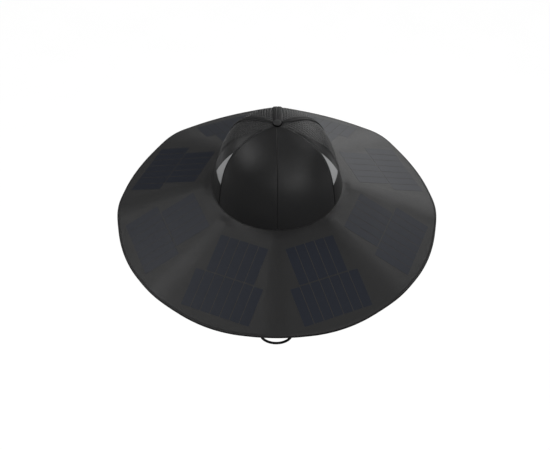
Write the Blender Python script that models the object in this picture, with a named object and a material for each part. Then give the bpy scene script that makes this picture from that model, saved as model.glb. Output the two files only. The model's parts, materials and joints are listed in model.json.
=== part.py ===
"""Wide solar sun hat: a pyramid brim with eight cell facets, a sewn crown and a chin cord.

+Z is up, the front of the hat faces -Y, and the origin is the centre of the head opening.
Azimuths are in degrees from the front, positive towards +X.
"""

import math

import bmesh
import bpy
from mathutils import Matrix, Vector

for old in list(bpy.data.objects):
    bpy.data.objects.remove(old, do_unlink=True)

# Driving dimensions, in metres and degrees.
GAP = 0.0003
CELL_PITCH = 0.015
CELL_LENGTH = 0.05676
CELL_SLIT = 0.0005
CELL_START = 0.13113
BLOCK_GAP = 0.0017
CELL_FILM = 0.0003
CELL_HEIGHT = 0.0007
SLOPE = 22.8
APEX_Z = 0.04095
RIDGE_ROUND = 5.4
BRIM_RADIUS = 0.24473
RIDGE_BULGE = 0.0016
HEAD_RADIUS = 0.095
CROWN_RADIUS = 0.0984
BLEND_RADIUS = 0.113
SHELL_THICK = 0.0008
BOARD_THICK = 0.0005
LINING_THICK = 0.0005
BINDING_WIDTH = 0.0022
BINDING_THICK = 0.0006
CROWN_HEIGHT = 0.11564
PANEL_THICK = 0.0012
MESH_THICK = 0.0008
BAND_TOP = 0.028
TOP_HOLE = 0.0034
TAPE_THICK = 0.0006
BUTTON_RADIUS = 0.00675
BUTTON_HEIGHT = 0.0036
SWEATBAND_TOP = 0.030
SWEATBAND_THICK = 0.0011
CORD_RADIUS = 0.0017
CORD_ANCHOR_X = 0.101
CORD_Y = -0.020
CORD_BOTTOM_Z = -0.3778
CORD_LOOP_RADIUS = 0.0275
LOCK_Z = -0.282
STRAND_X = 0.0019
UNIT_AZIMUTH = 157.5
UNIT_SLOPE_POS = 0.146

SLOPE_RAD = math.radians(SLOPE)
TAN_SLOPE = math.tan(SLOPE_RAD)
DROP = 1.0 / math.cos(SLOPE_RAD)
FACETS = [22.5 + 45.0 * k for k in range(8)]
RIDGE_STEPS = [0.0, 1.8, 3.6, 5.4, 11.1, 16.8]


# ---------------------------------------------------------------- helpers

def material(name, color, rough, metal=0.0):
    mat = bpy.data.materials.new(name)
    mat.use_nodes = True
    bsdf = mat.node_tree.nodes["Principled BSDF"]
    bsdf.inputs["Base Color"].default_value = (*color, 1.0)
    bsdf.inputs["Roughness"].default_value = rough
    bsdf.inputs["Metallic"].default_value = metal
    return mat


def add_node(name, points, faces, look, origin=(0.0, 0.0, 0.0)):
    base = Vector(origin)
    mesh = bpy.data.meshes.new(name)
    mesh.from_pydata([tuple(Vector(p) - base) for p in points], [], faces)
    bm = bmesh.new()
    bm.from_mesh(mesh)
    bmesh.ops.recalc_face_normals(bm, faces=bm.faces)
    bmesh.ops.triangulate(bm, faces=bm.faces)
    bm.to_mesh(mesh)
    bm.free()
    obj = bpy.data.objects.new(name, mesh)
    obj.location = base
    bpy.context.scene.collection.objects.link(obj)
    mesh.materials.append(material(name, *look))
    return obj


def combine(target, others, operation):
    """Apply exact booleans on the target and drop the helper shapes."""
    for other in others:
        mod = target.modifiers.new("cut", "BOOLEAN")
        mod.operation = operation
        mod.solver = "EXACT"
        mod.object = other
        bpy.context.view_layer.update()
        graph = bpy.context.evaluated_depsgraph_get()
        mesh = bpy.data.meshes.new_from_object(target.evaluated_get(graph))
        target.modifiers.clear()
        target.data = mesh
        bpy.data.objects.remove(other, do_unlink=True)
    bm = bmesh.new()
    bm.from_mesh(target.data)
    bmesh.ops.remove_doubles(bm, verts=bm.verts, dist=0.0000001)
    bmesh.ops.triangulate(bm, faces=bm.faces)
    bm.to_mesh(target.data)
    bm.free()
    return target


def direction(azimuth):
    a = math.radians(azimuth)
    return Vector((math.sin(a), -math.cos(a), 0.0))


def smooth(t):
    t = min(1.0, max(0.0, t))
    return t * t * (3.0 - 2.0 * t)


def table(x, rows):
    """Straight-line reading of a short table of (x, y) rows."""
    if x <= rows[0][0]:
        return rows[0][1]
    for (x0, y0), (x1, y1) in zip(rows, rows[1:]):
        if x <= x1:
            return y0 + (y1 - y0) * (x - x0) / (x1 - x0)
    return rows[-1][1]


def layer(outer, inner, columns, rows, closed):
    """A closed body between two point grids, each read as grid(column, row)."""
    nc = len(columns)
    nr = len(rows)
    points = [outer(c, r) for c in columns for r in rows]
    points += [inner(c, r) for c in columns for r in rows]
    low = nc * nr
    faces = []
    spans = nc if closed else nc - 1
    for i in range(spans):
        j = (i + 1) % nc
        for k in range(nr - 1):
            a, b = i * nr + k, j * nr + k
            faces.append((a, b, b + 1, a + 1))
            faces.append((low + a, low + a + 1, low + b + 1, low + b))
        for k in (0, nr - 1):
            a, b = i * nr + k, j * nr + k
            faces.append((a, b, low + b, low + a))
    if not closed:
        for i in (0, nc - 1):
            for k in range(nr - 1):
                a = i * nr + k
                faces.append((a, a + 1, low + a + 1, low + a))
    return points, faces


def prism(outline, low, high, place):
    """An outline in (x, y) drawn from z = low to z = high, mapped through place."""
    n = len(outline)
    points = [place(x, y, low) for x, y in outline]
    points += [place(x, y, high) for x, y in outline]
    faces = [tuple(range(n)), tuple(range(n, 2 * n))]
    faces += [(i, (i + 1) % n, n + (i + 1) % n, n + i) for i in range(n)]
    return points, faces


def lathe(profile, steps, place):
    """A profile of (radius, height) rows turned about the local Z axis; radius 0 closes it."""
    points = []
    rings = []
    for r, z in profile:
        if r == 0.0:
            rings.append([len(points)])
            points.append(place(0.0, 0.0, z))
            continue
        rings.append(list(range(len(points), len(points) + steps)))
        for k in range(steps):
            a = 2.0 * math.pi * k / steps
            points.append(place(r * math.cos(a), r * math.sin(a), z))
    faces = []
    count = len(rings)
    closed = len(rings[0]) > 1 and len(rings[-1]) > 1
    for i in range(count if closed else count - 1):
        a, b = rings[i], rings[(i + 1) % count]
        for k in range(steps):
            m = (k + 1) % steps
            if len(a) == 1:
                faces.append((a[0], b[k], b[m]))
            elif len(b) == 1:
                faces.append((a[k], a[m], b[0]))
            else:
                faces.append((a[k], a[m], b[m], b[k]))
    return points, faces


def rounded(half_x, half_y, radius, steps=3):
    """The outline of a rectangle with rounded corners."""
    out = []
    corners = [(1, 1, 0), (-1, 1, 90), (-1, -1, 180), (1, -1, 270)]
    for sx, sy, start in corners:
        cx, cy = sx * (half_x - radius), sy * (half_y - radius)
        for k in range(steps + 1):
            a = math.radians(start + 90.0 * k / steps)
            out.append((cx + radius * math.cos(a), cy + radius * math.sin(a)))
    return out


def stacked(levels, place):
    """A closed body through several outlines of equal length, each with its own height."""
    n = len(levels[0][0])
    points = []
    for outline, z in levels:
        points += [place(x, y, z) for x, y in outline]
    top = (len(levels) - 1) * n
    faces = [tuple(range(n)), tuple(range(top, top + n))]
    for m in range(len(levels) - 1):
        a = m * n
        faces += [(a + i, a + (i + 1) % n, a + n + (i + 1) % n, a + n + i) for i in range(n)]
    return points, faces


def plain(x, y, z):
    return (x, y, z)


# ---------------------------------------------------------------- looks

BRIM_CLOTH = ((0.045, 0.046, 0.050), 0.85)
LINING_CLOTH = ((0.030, 0.031, 0.034), 0.90)
BINDING_CLOTH = ((0.012, 0.012, 0.014), 0.80)
CROWN_CLOTH = ((0.014, 0.014, 0.016), 0.75)
MESH_CLOTH = ((0.022, 0.022, 0.025), 0.85)
TAPE_CLOTH = ((0.018, 0.018, 0.020), 0.70)
REFLECT_CLOTH = ((0.32, 0.33, 0.34), 0.45)
CELL_BLUE = ((0.008, 0.014, 0.045), 0.22)
BOARD_GREEN = ((0.03, 0.05, 0.035), 0.60)
COPPER = ((0.55, 0.30, 0.14), 0.40, 1.0)
BLACK_PLASTIC = ((0.020, 0.020, 0.022), 0.50)
RUBBER = ((0.018, 0.018, 0.018), 0.80)
STEEL = ((0.60, 0.60, 0.62), 0.30, 1.0)
LIGHT_LENS = ((0.70, 0.75, 0.72), 0.25)
CORD_BLACK = ((0.006, 0.006, 0.007), 0.80)


# ---------------------------------------------------------------- brim

def ridge_angle(azimuth):
    d = azimuth % 45.0
    return min(d, 45.0 - d)


def facet_factor(azimuth):
    """How steep the brim runs at this azimuth: 1 on a facet's centre, less on a soft ridge."""
    delta = math.radians(ridge_angle(azimuth))
    soft = math.radians(RIDGE_ROUND)
    half = math.radians(22.5)
    if delta >= soft:
        return math.cos(half - delta)
    ease = (soft * soft - delta * delta) / (2.0 * soft)
    return math.cos(half - soft) - math.sin(half - soft) * ease


def brim_z(radius, azimuth, depth=0.0):
    if radius <= CROWN_RADIUS:
        z = 0.0
    else:
        facet = APEX_Z - TAN_SLOPE * radius * facet_factor(azimuth)
        ring = -TAN_SLOPE * 0.96 * (radius - CROWN_RADIUS)
        t = smooth((radius - CROWN_RADIUS) / (BLEND_RADIUS - CROWN_RADIUS))
        z = ring + (facet - ring) * t
    return z - depth * DROP


def brim_edge(azimuth):
    swell = math.cos(math.radians(min(ridge_angle(azimuth) * 8.0, 90.0))) ** 2
    return BRIM_RADIUS + RIDGE_BULGE * swell


def brim_point(azimuth, radius, depth):
    p = direction(azimuth) * radius
    return (p.x, p.y, brim_z(radius, azimuth, depth))


AROUND = []
for ridge in range(8):
    AROUND += [45.0 * ridge + d for d in RIDGE_STEPS]
    AROUND += [45.0 * ridge + 45.0 - d for d in [22.5] + RIDGE_STEPS[:0:-1]]

SHELL_EDGE = -0.0009
shell_rows = [HEAD_RADIUS, CROWN_RADIUS, 0.1023, 0.1062, 0.1096, BLEND_RADIUS, None]


def shell_radius(azimuth, row):
    return brim_edge(azimuth) + SHELL_EDGE if row is None else row


add_node("brim_shell", *layer(
    lambda c, r: brim_point(c, shell_radius(c, r), 0.0),
    lambda c, r: brim_point(c, shell_radius(c, r), SHELL_THICK),
    AROUND, shell_rows, True), BRIM_CLOTH)

# The lining dips below the boards and comes up to the shell at both edges.
NEAR = SHELL_THICK + GAP
FAR = NEAR + BOARD_THICK + GAP
lining_rows = [(0.0970, NEAR), (0.1023, NEAR), (0.1062, NEAR), (0.1096, NEAR + GAP), (BLEND_RADIUS, FAR),
               (-0.0083, FAR), (-0.0064, NEAR), (SHELL_EDGE, NEAR)]


def lining_point(azimuth, row, extra):
    radius = row[0] if row[0] > 0.0 else brim_edge(azimuth) + row[0]
    return brim_point(azimuth, radius, row[1] + extra)


add_node("brim_lining", *layer(
    lambda c, r: lining_point(c, r, 0.0),
    lambda c, r: lining_point(c, r, LINING_THICK),
    AROUND, lining_rows, True), LINING_CLOTH)

# Edge binding: a folded tape around the rim.
fold_in = NEAR + LINING_THICK + GAP
fold_out = fold_in + BINDING_THICK
binding_profile = [
    (-BINDING_WIDTH, -GAP), (-BINDING_WIDTH, -GAP - BINDING_THICK), (-0.0007, -GAP - BINDING_THICK),
    (0.0, -0.0003), (0.0, fold_out - 0.0006), (-0.0007, fold_out),
    (-BINDING_WIDTH, fold_out), (-BINDING_WIDTH, fold_in), (-BINDING_THICK, fold_in),
    (-BINDING_THICK, -GAP)]
binding_points = []
binding_faces = []
turns = len(AROUND)
size = len(binding_profile)
for azimuth in AROUND:
    for back, depth in binding_profile:
        binding_points.append(brim_point(azimuth, brim_edge(azimuth) + back, depth))
for i in range(turns):
    j = (i + 1) % turns
    for k in range(size):
        m = (k + 1) % size
        binding_faces.append((i * size + k, j * size + k, j * size + m, i * size + m))
add_node("edge_binding", binding_points, binding_faces, BINDING_CLOTH)

add_node("bus_ring", *layer(
    lambda c, r: brim_point(c, r, NEAR),
    lambda c, r: brim_point(c, r, NEAR + BOARD_THICK),
    AROUND, [BLEND_RADIUS, 0.1170], True), COPPER)


def facet_place(azimuth):
    """Maps (across, down the slope from the apex, height above the cloth) into the frame."""
    out = direction(azimuth)
    across = Vector((-out.y, out.x, 0.0))
    down = out * math.cos(SLOPE_RAD) - Vector((0.0, 0.0, math.sin(SLOPE_RAD)))
    normal = out * math.sin(SLOPE_RAD) + Vector((0.0, 0.0, math.cos(SLOPE_RAD)))
    apex = Vector((0.0, 0.0, APEX_Z))
    return lambda x, y, z: tuple(apex + across * x + down * y + normal * z)


def cell_block(count, start, azimuth):
    """One laminated block: a backing film with a raised strip for each cell."""
    place = facet_place(azimuth)
    half = count * CELL_PITCH / 2.0
    slit = CELL_SLIT / 2.0
    film = GAP + CELL_FILM
    top = GAP + CELL_HEIGHT
    outline = [(half, GAP), (-half, GAP)]
    for k in range(count):
        left = -half + k * CELL_PITCH
        a = left + (slit if k else 0.0)
        b = left + CELL_PITCH - (slit if k < count - 1 else 0.0)
        if k:
            outline.append((a, film))
        outline += [(a, top), (b, top)]
        if k < count - 1:
            outline.append((b, film))
    return prism(outline, start, start + CELL_LENGTH, lambda x, z, y: place(x, y, z))


def board_outline():
    inner = 0.1290
    bend = 0.2000
    outer = 0.2478
    lean = math.tan(math.radians(16.6)) * math.cos(SLOPE_RAD)
    return [(inner * lean, inner), (bend * lean, bend), (bend * lean, outer),
            (-bend * lean, outer), (-bend * lean, bend), (-inner * lean, inner)]


for number, azimuth in enumerate(FACETS, 1):
    add_node(f"cells_inner_{number}", *cell_block(5, CELL_START, azimuth), CELL_BLUE)
    add_node(f"cells_outer_{number}",
             *cell_block(7, CELL_START + CELL_LENGTH + BLOCK_GAP, azimuth), CELL_BLUE)
    add_node(f"module_board_{number}", *prism(
        board_outline(), -NEAR - BOARD_THICK, -NEAR, facet_place(azimuth)), BOARD_GREEN)


# ---------------------------------------------------------------- crown

def meridian(azimuth, s):
    """Radius and height of the crown's outside at this azimuth, from base (0) to top (1)."""
    c = math.cos(math.radians(azimuth))
    p = CELL_PITCH
    rise = (4.66 + 0.061 * c) * p
    lean = 0.215 - 0.219 * c
    wide = (5.473 - 0.195 * c) * p
    q = 1.0 - s
    b1, b2, b3 = 3 * q * q * s, 3 * q * s * s, s ** 3
    radius = (q ** 3 + b1) * CROWN_RADIUS - b1 * rise * math.sin(lean) + b2 * wide
    height = b1 * rise * math.cos(lean) + (b2 + b3) * CROWN_HEIGHT
    return radius, height


def solve(azimuth, wanted, part):
    low, high = 0.0, 1.0
    for _ in range(44):
        mid = (low + high) / 2.0
        value = meridian(azimuth, mid)[part]
        below = value < wanted if part else value > wanted
        low, high = (mid, high) if below else (low, mid)
    return (low + high) / 2.0


def s_at_height(azimuth, height):
    return solve(azimuth, height, 1)


def s_at_radius(azimuth, radius):
    low, high = 0.6, 1.0
    for _ in range(44):
        mid = (low + high) / 2.0
        low, high = (mid, high) if meridian(azimuth, mid)[0] > radius else (low, mid)
    return (low + high) / 2.0


def surface(azimuth, s):
    r, z = meridian(azimuth, s)
    return direction(azimuth) * r + Vector((0.0, 0.0, z))


def crown_point(azimuth, s, lift):
    """A point on the crown, lifted off its outside; the base row only moves sideways."""
    here = surface(azimuth, s)
    step = 0.001
    up = surface(azimuth, min(s + step, 1.0)) - surface(azimuth, max(s - step, 0.0))
    along = surface(azimuth + 0.1, s) - surface(azimuth - 0.1, s)
    normal = along.cross(up).normalized()
    flat = direction(azimuth)
    if normal.dot(flat + Vector((0.0, 0.0, 1.0))) < 0.0:
        normal = -normal
    t = smooth(s / 0.14)
    aim = (flat * (1.0 - t) + normal * t)
    return tuple(here + aim * (lift / max(aim.dot(normal), 0.5)))


BASE_Z = GAP
SEAM = GAP / 2.0 + 0.00002


def edge_turn(azimuth, s, side):
    radius = max(meridian(azimuth, s)[0], TOP_HOLE)
    return side * math.degrees(SEAM / radius)


# Where the solid side cloth ends and the mesh starts, as height over azimuth.
MESH_LINE = [(60, 0.1143), (62, 0.1134), (65, 0.1110), (68, 0.1052), (70.5, 0.1002), (73, 0.0950),
             (74.5, 0.0905), (76, 0.0850), (77, 0.0790), (78, 0.0720), (79, 0.0660), (80, 0.0610),
             (82, 0.0540), (84, 0.0490), (88, 0.0425), (93, 0.0370), (100, 0.0322), (109, 0.0292),
             (119, BAND_TOP)]


def mesh_line_s(azimuth):
    return s_at_height(azimuth, table(azimuth, MESH_LINE))


def line_offset(azimuth):
    """Half a gap along the meridian that leaves half a gap square to the mesh line."""
    low, high = azimuth - 0.3, azimuth + 0.3
    tangent = surface(high, mesh_line_s(high)) - surface(low, mesh_line_s(low))
    s = mesh_line_s(azimuth)
    up = surface(azimuth, min(s + 0.002, 1.0)) - surface(azimuth, s - 0.002)
    sine = tangent.normalized().cross(up.normalized()).length
    return SEAM * 1.15 / max(sine, 0.1) / (up.length / 0.004)


def panel(low_az, high_az, azimuths, low_s, high_s, rows, thick, side):
    """A shell panel between two azimuths, with its lower and upper ends given per azimuth."""
    def point(az, t, lift):
        a0, a1 = low_s(az), high_s(az)
        s = a0 + (a1 - a0) * t
        turn = 0.0
        if az == low_az:
            turn = edge_turn(az, s, 1.0)
        if az == high_az:
            turn = edge_turn(az, s, -1.0)
        return crown_point(side * (az + turn), s, lift)
    steps = [k / rows for k in range(rows + 1)]
    return layer(lambda a, t: point(a, t, 0.0), lambda a, t: point(a, t, -thick),
                 azimuths, steps, False)


def base_s(azimuth):
    return s_at_height(azimuth, BASE_Z)


def top_s(azimuth):
    return s_at_radius(azimuth, TOP_HOLE)


front_steps = [6.0 * k for k in range(11)]
line_steps = [row[0] for row in MESH_LINE]
back_steps = [119.0, 126.6, 134.2, 141.8, 149.5, 157.1, 164.8, 172.4, 180.0]
for word, side in (("left", -1.0), ("right", 1.0)):
    add_node(f"front_panel_{word}", *panel(
        0.0, 60.0, front_steps, base_s, top_s, 12, PANEL_THICK, side), CROWN_CLOTH)
    add_node(f"side_panel_{word}", *panel(
        60, 119, line_steps, base_s, lambda a: mesh_line_s(a) - line_offset(a),
        8, PANEL_THICK, side), CROWN_CLOTH)
    add_node(f"side_mesh_{word}", *panel(
        60, 119, line_steps, lambda a: mesh_line_s(a) + line_offset(a), top_s,
        9, MESH_THICK, side), MESH_CLOTH)
    add_node(f"back_mesh_{word}", *panel(
        119.0, 180.0, back_steps, lambda a: s_at_height(a, BAND_TOP + 2 * SEAM), top_s,
        10, MESH_THICK, side), MESH_CLOTH)

band_steps = [119.0 + 7.625 * k for k in range(17)]
add_node("back_band", *panel(
    119.0, 241.0, band_steps, base_s, lambda a: s_at_height(a, BAND_TOP),
    3, PANEL_THICK, 1.0), CROWN_CLOTH)


# Reflective wedges, laid on the side panels behind the front seams.
WEDGE_TOP = [(60.6, 0.0915), (62, 0.0885), (64, 0.0830), (66, 0.0770), (68.5, 0.0690),
             (71, 0.0610), (74, 0.0520), (76.6, 0.0452)]
WEDGE_LOW = [(60.6, 0.0390), (69, 0.0420), (76.6, 0.0440)]
wedge_steps = [row[0] for row in WEDGE_TOP]
for word, side in (("left", -1.0), ("right", 1.0)):
    def wedge_point(az, t, lift, side=side):
        z0 = table(az, WEDGE_LOW)
        z = z0 + (table(az, WEDGE_TOP) - z0) * t
        return crown_point(side * az, s_at_height(az, z), lift)
    add_node(f"reflector_{word}", *layer(
        lambda a, t: wedge_point(a, t, GAP + 0.0005), lambda a, t: wedge_point(a, t, GAP),
        wedge_steps, [k / 6.0 for k in range(7)], False), REFLECT_CLOTH)


def tape(azimuth, width):
    """A raised tape over a seam, narrowing under the top button."""
    start = base_s(azimuth)
    end = s_at_radius(azimuth, 0.0078)
    rows = [start + (end - start) * k / 13.0 for k in range(14)]

    def point(column, s, lift):
        radius = meridian(azimuth, s)[0]
        half = width / 2.0 * min(1.0, max(0.3, radius / 0.030))
        return crown_point(azimuth + column * math.degrees(half / radius), s, lift)
    return layer(lambda c, s: point(c, s, GAP + TAPE_THICK), lambda c, s: point(c, s, GAP),
                 [-1.0, -0.33, 0.33, 1.0], rows, False)


add_node("seam_tape_left", *tape(-119.0, 0.009), TAPE_CLOTH)
add_node("seam_tape_right", *tape(119.0, 0.009), TAPE_CLOTH)
add_node("seam_tape_back", *tape(180.0, 0.014), TAPE_CLOTH)

band_columns = [7.5 * k for k in range(48)]
sweat_rows = [BASE_Z, 0.010, 0.020, SWEATBAND_TOP]
sweat_in = PANEL_THICK + 0.0007
add_node("sweatband", *layer(
    lambda a, z: crown_point(a, s_at_height(a, z), -sweat_in),
    lambda a, z: crown_point(a, s_at_height(a, z), -sweat_in - SWEATBAND_THICK),
    band_columns, sweat_rows, True), LINING_CLOTH)

# Top button with its shank, and the rivet washer under the crown.
top = CROWN_HEIGHT
button_profile = [
    (0.0, top - 0.0036), (0.0015, top - 0.0036), (0.0015, top + GAP), (BUTTON_RADIUS - 0.0005, top + GAP),
    (BUTTON_RADIUS, top + GAP + 0.0006), (BUTTON_RADIUS * 0.96, top + 0.0017),
    (BUTTON_RADIUS * 0.80, top + 0.0028), (BUTTON_RADIUS * 0.50, top + 0.0035),
    (0.0, top + GAP + BUTTON_HEIGHT - 0.0002)]
add_node("top_button", *lathe(button_profile, 24, plain), CROWN_CLOTH)
low = top - PANEL_THICK - GAP
add_node("button_rivet", *lathe([
    (0.0018, low), (0.0058, low), (0.0062, low - 0.0005), (0.0058, low - 0.0010),
    (0.0018, low - 0.0010)], 20, plain), STEEL)


# ---------------------------------------------------------------- power unit under the brim

unit_base = facet_place(UNIT_AZIMUTH)
UNIT_DEPTH = -(FAR + LINING_THICK + GAP)


def unit(x, y, z):
    """Local frame of the power unit: x across, y outwards down the slope, z away from the brim."""
    return unit_base(x, UNIT_SLOPE_POS + y, UNIT_DEPTH - z)


def unit_box(name, x0, x1, y0, y1, z0, z1, look):
    outline = [(x0, y0), (x1, y0), (x1, y1), (x0, y1)]
    return add_node(name, *prism(outline, z0, z1, unit), look)


def unit_round(name, radius, x, y, z0, z1, look, steps=16):
    return add_node(name, *lathe([(0.0, z0), (radius, z0), (radius, z1), (0.0, z1)], steps,
                                 lambda a, b, c: unit(x + a, y + b, c)), look)


def unit_bar(name, radius, x, z, y0, y1, look, steps=14):
    """A round bar along the unit's y axis."""
    return add_node(name, *lathe([(0.0, y0), (radius, y0), (radius, y1), (0.0, y1)], steps,
                                 lambda a, b, c: unit(x + a, c, z + b)), look)


HALF_X, HALF_Y, UNIT_Z = 0.031, 0.017, 0.0122
screws = [(0.0254, 0.0114), (0.0254, -0.0114)]

base = add_node("controller_base", *prism(rounded(HALF_X, HALF_Y, 0.004), 0.0, 0.0015, unit),
                BLACK_PLASTIC)
combine(base, [unit_round("cutter", 0.0015, x, y, -0.001, 0.003, BLACK_PLASTIC)
               for x, y in screws], "DIFFERENCE")

lid = add_node("controller_lid", *stacked([
    (rounded(HALF_X, HALF_Y, 0.004), 0.0018),
    (rounded(HALF_X, HALF_Y, 0.004), UNIT_Z - 0.0012),
    (rounded(HALF_X - 0.0012, HALF_Y - 0.0012, 0.0028), UNIT_Z)], unit), BLACK_PLASTIC)
hollow = add_node("hollow", *prism(rounded(HALF_X - 0.0013, HALF_Y - 0.0013, 0.0027),
                                   0.0008, UNIT_Z - 0.0013, unit), BLACK_PLASTIC)
combine(lid, [hollow], "DIFFERENCE")
combine(lid, [unit_round("boss", 0.0030, x, y, 0.0018, UNIT_Z - 0.0008, BLACK_PLASTIC)
              for x, y in screws], "UNION")
HINGE_X = -HALF_X - 0.0017
HINGE_Z = UNIT_Z - 0.0017
lugs = []
for side in (-1.0, 1.0):
    lugs.append(unit_box("lug", HINGE_X - 0.0014, -HALF_X + 0.0006, side * 0.0100, side * 0.0126,
                         HINGE_Z - 0.0014, HINGE_Z + 0.0014, BLACK_PLASTIC))
combine(lid, lugs, "UNION")
windows = [unit_box("window_a", -HALF_X - 0.001, -HALF_X + 0.003, -0.0140, -0.0004,
                    0.0030, 0.0088, BLACK_PLASTIC),
           unit_box("window_c", -HALF_X - 0.001, -HALF_X + 0.003, 0.0034, 0.0130,
                    0.0030, 0.0068, BLACK_PLASTIC),
           unit_round("lamp_hole", 0.0016, 0.010, 0.0, UNIT_Z - 0.003, UNIT_Z + 0.001, BLACK_PLASTIC)]
for x, y in screws:
    windows.append(unit_round("way", 0.0015, x, y, 0.001, UNIT_Z + 0.001, BLACK_PLASTIC))
    windows.append(unit_round("sink", 0.0026, x, y, UNIT_Z - 0.0011, UNIT_Z + 0.001, BLACK_PLASTIC))
for side in (-1.0, 1.0):
    windows.append(unit_bar("pin_hole", 0.0010, HINGE_X, HINGE_Z, side * 0.0095, side * 0.0131,
                            BLACK_PLASTIC))
combine(lid, windows, "DIFFERENCE")

unit_box("controller_board", -0.0280, 0.0220, -0.0150, 0.0150, 0.0018, 0.0027, BOARD_GREEN)
socket_a = unit_box("usb_a_socket", -HALF_X, -HALF_X + 0.014, -0.0137, -0.0007,
                    0.0033, 0.0085, STEEL)
combine(socket_a, [unit_box("slot_a", -HALF_X - 0.001, -HALF_X + 0.0122, -0.0133, -0.0011,
                            0.0037, 0.0081, STEEL)], "DIFFERENCE")
combine(socket_a, [unit_box("tongue_a", -HALF_X + 0.001, -HALF_X + 0.0130, -0.0120, -0.0024,
                            0.0056, 0.0072, STEEL)], "UNION")
socket_c = add_node("usb_c_socket", *prism(
    [(y, z) for y, z in rounded(0.0045, 0.0016, 0.00155)], -HALF_X, -HALF_X + 0.0075,
    lambda y, z, x: unit(x, 0.0082 + y, 0.0049 + z)), STEEL)
combine(socket_c, [add_node("slot_c", *prism(
    rounded(0.0041, 0.0012, 0.00115), -HALF_X - 0.001, -HALF_X + 0.0062,
    lambda y, z, x: unit(x, 0.0082 + y, 0.0049 + z)), STEEL)], "DIFFERENCE")
combine(socket_c, [unit_box("tongue_c", -HALF_X + 0.0008, -HALF_X + 0.0070, 0.0049, 0.0115,
                            0.0046, 0.0052, STEEL)], "UNION")

add_node("status_light", *lathe([
    (0.0, UNIT_Z - 0.0040), (0.0013, UNIT_Z - 0.0040), (0.0013, UNIT_Z - 0.0001),
    (0.0008, UNIT_Z + 0.0004), (0.0, UNIT_Z + 0.0005)], 16,
    lambda a, b, c: unit(0.010 + a, b, c)), LIGHT_LENS)

for number, (x, y) in enumerate(screws, 1):
    head = UNIT_Z - 0.0011 + GAP
    screw = add_node(f"lid_screw_{number}", *lathe([
        (0.0, 0.0004), (0.0012, 0.0004), (0.0012, head), (0.0023, head), (0.0023, UNIT_Z - 0.0003),
        (0.0016, UNIT_Z), (0.0, UNIT_Z)], 14,
        lambda a, b, c, x=x, y=y: unit(x + a, y + b, c)), STEEL)
    combine(screw, [unit_box("drive", x - 0.0014, x + 0.0014, y - 0.0003, y + 0.0003,
                             UNIT_Z - 0.0004, UNIT_Z + 0.001, STEEL)], "DIFFERENCE")

# Hinged cover over the two sockets; its trunnions turn in the lid's lugs.
cover = unit_box("port_cover", HINGE_X - 0.0006, HINGE_X + 0.0006, -0.0148, 0.0148,
                 0.0012, HINGE_Z - 0.0024, RUBBER)
flap = [unit_box("web", HINGE_X - 0.0005, HINGE_X + 0.0005, -0.0095, 0.0095,
                 HINGE_Z - 0.0031, HINGE_Z, RUBBER),
        unit_bar("barrel", 0.0013, HINGE_X, HINGE_Z, -0.0097, 0.0097, RUBBER),
        unit_bar("trunnion", 0.0007, HINGE_X, HINGE_Z, -0.0122, 0.0122, RUBBER),
        unit_box("pull_tab", HINGE_X - 0.0020, HINGE_X, -0.0030, 0.0030, 0.0015, 0.0023, RUBBER)]
combine(cover, flap, "UNION")
hinge_at = Vector(unit(HINGE_X, 0.0, HINGE_Z))
cover.data.transform(Matrix.Translation(-hinge_at))
cover.location = hinge_at


# ---------------------------------------------------------------- chin cord

def lining_low(x, y):
    radius = math.hypot(x, y)
    azimuth = math.degrees(math.atan2(x, -y))
    return brim_z(radius, azimuth, NEAR + LINING_THICK + GAP)


CHEEK = 0.0036
SLOT = CORD_RADIUS + 0.0004
TAB_Y = 0.0045
AXIS_Z = min(lining_low(CORD_ANCHOR_X + CHEEK, CORD_Y - TAB_Y),
             lining_low(CORD_ANCHOR_X + CHEEK, CORD_Y + TAB_Y)) - 0.0016 - CORD_RADIUS - GAP

PIN_RADIUS = 0.0008
PIN_HALF = CHEEK - 0.0003


def cross_bar(name, radius, middle, half):
    """A round bar across an anchor, on the cord's hinge line."""
    return add_node(name, *lathe([(0.0, -half), (radius, -half), (radius, half), (0.0, half)], 12,
                                 lambda a, b, c: (middle + c, CORD_Y + a, AXIS_Z + b)), STEEL)


for word, side in (("left", -1.0), ("right", 1.0)):
    tab_points = []
    middle = side * CORD_ANCHOR_X
    for y in (CORD_Y - TAB_Y, CORD_Y + TAB_Y):
        for x in (middle - CHEEK, middle - SLOT, middle + SLOT, middle + CHEEK):
            tab_points.append((x, y, lining_low(x, y) - 0.0004))
        for x, z in ((middle + CHEEK, AXIS_Z - 0.0026), (middle + SLOT, AXIS_Z - 0.0026),
                     (middle + SLOT, AXIS_Z + CORD_RADIUS + GAP),
                     (middle - SLOT, AXIS_Z + CORD_RADIUS + GAP),
                     (middle - SLOT, AXIS_Z - 0.0026), (middle - CHEEK, AXIS_Z - 0.0026)):
            tab_points.append((x, y, z))
    ring = 10
    strips = [(0, 1, 7), (0, 7, 9), (7, 8, 9), (1, 2, 6, 7), (2, 3, 6), (3, 4, 6), (4, 5, 6)]
    tab_faces = [tuple(f) for f in strips] + [tuple(ring + i for i in f) for f in strips]
    tab_faces += [(i, (i + 1) % ring, ring + (i + 1) % ring, ring + i) for i in range(ring)]
    tab = add_node(f"cord_anchor_{word}", tab_points, tab_faces, BLACK_PLASTIC)
    combine(tab, [cross_bar("pin_way", PIN_RADIUS + GAP, middle, CHEEK + 0.002)], "DIFFERENCE")


def bezier(p0, p1, p2, p3, count, skip_first):
    out = []
    for k in range(1 if skip_first else 0, count + 1):
        t = k / count
        q = 1.0 - t
        out.append(tuple(q ** 3 * a + 3 * q * q * t * b + 3 * q * t * t * c + t ** 3 * d
                         for a, b, c, d in zip(p0, p1, p2, p3)))
    return out


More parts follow.
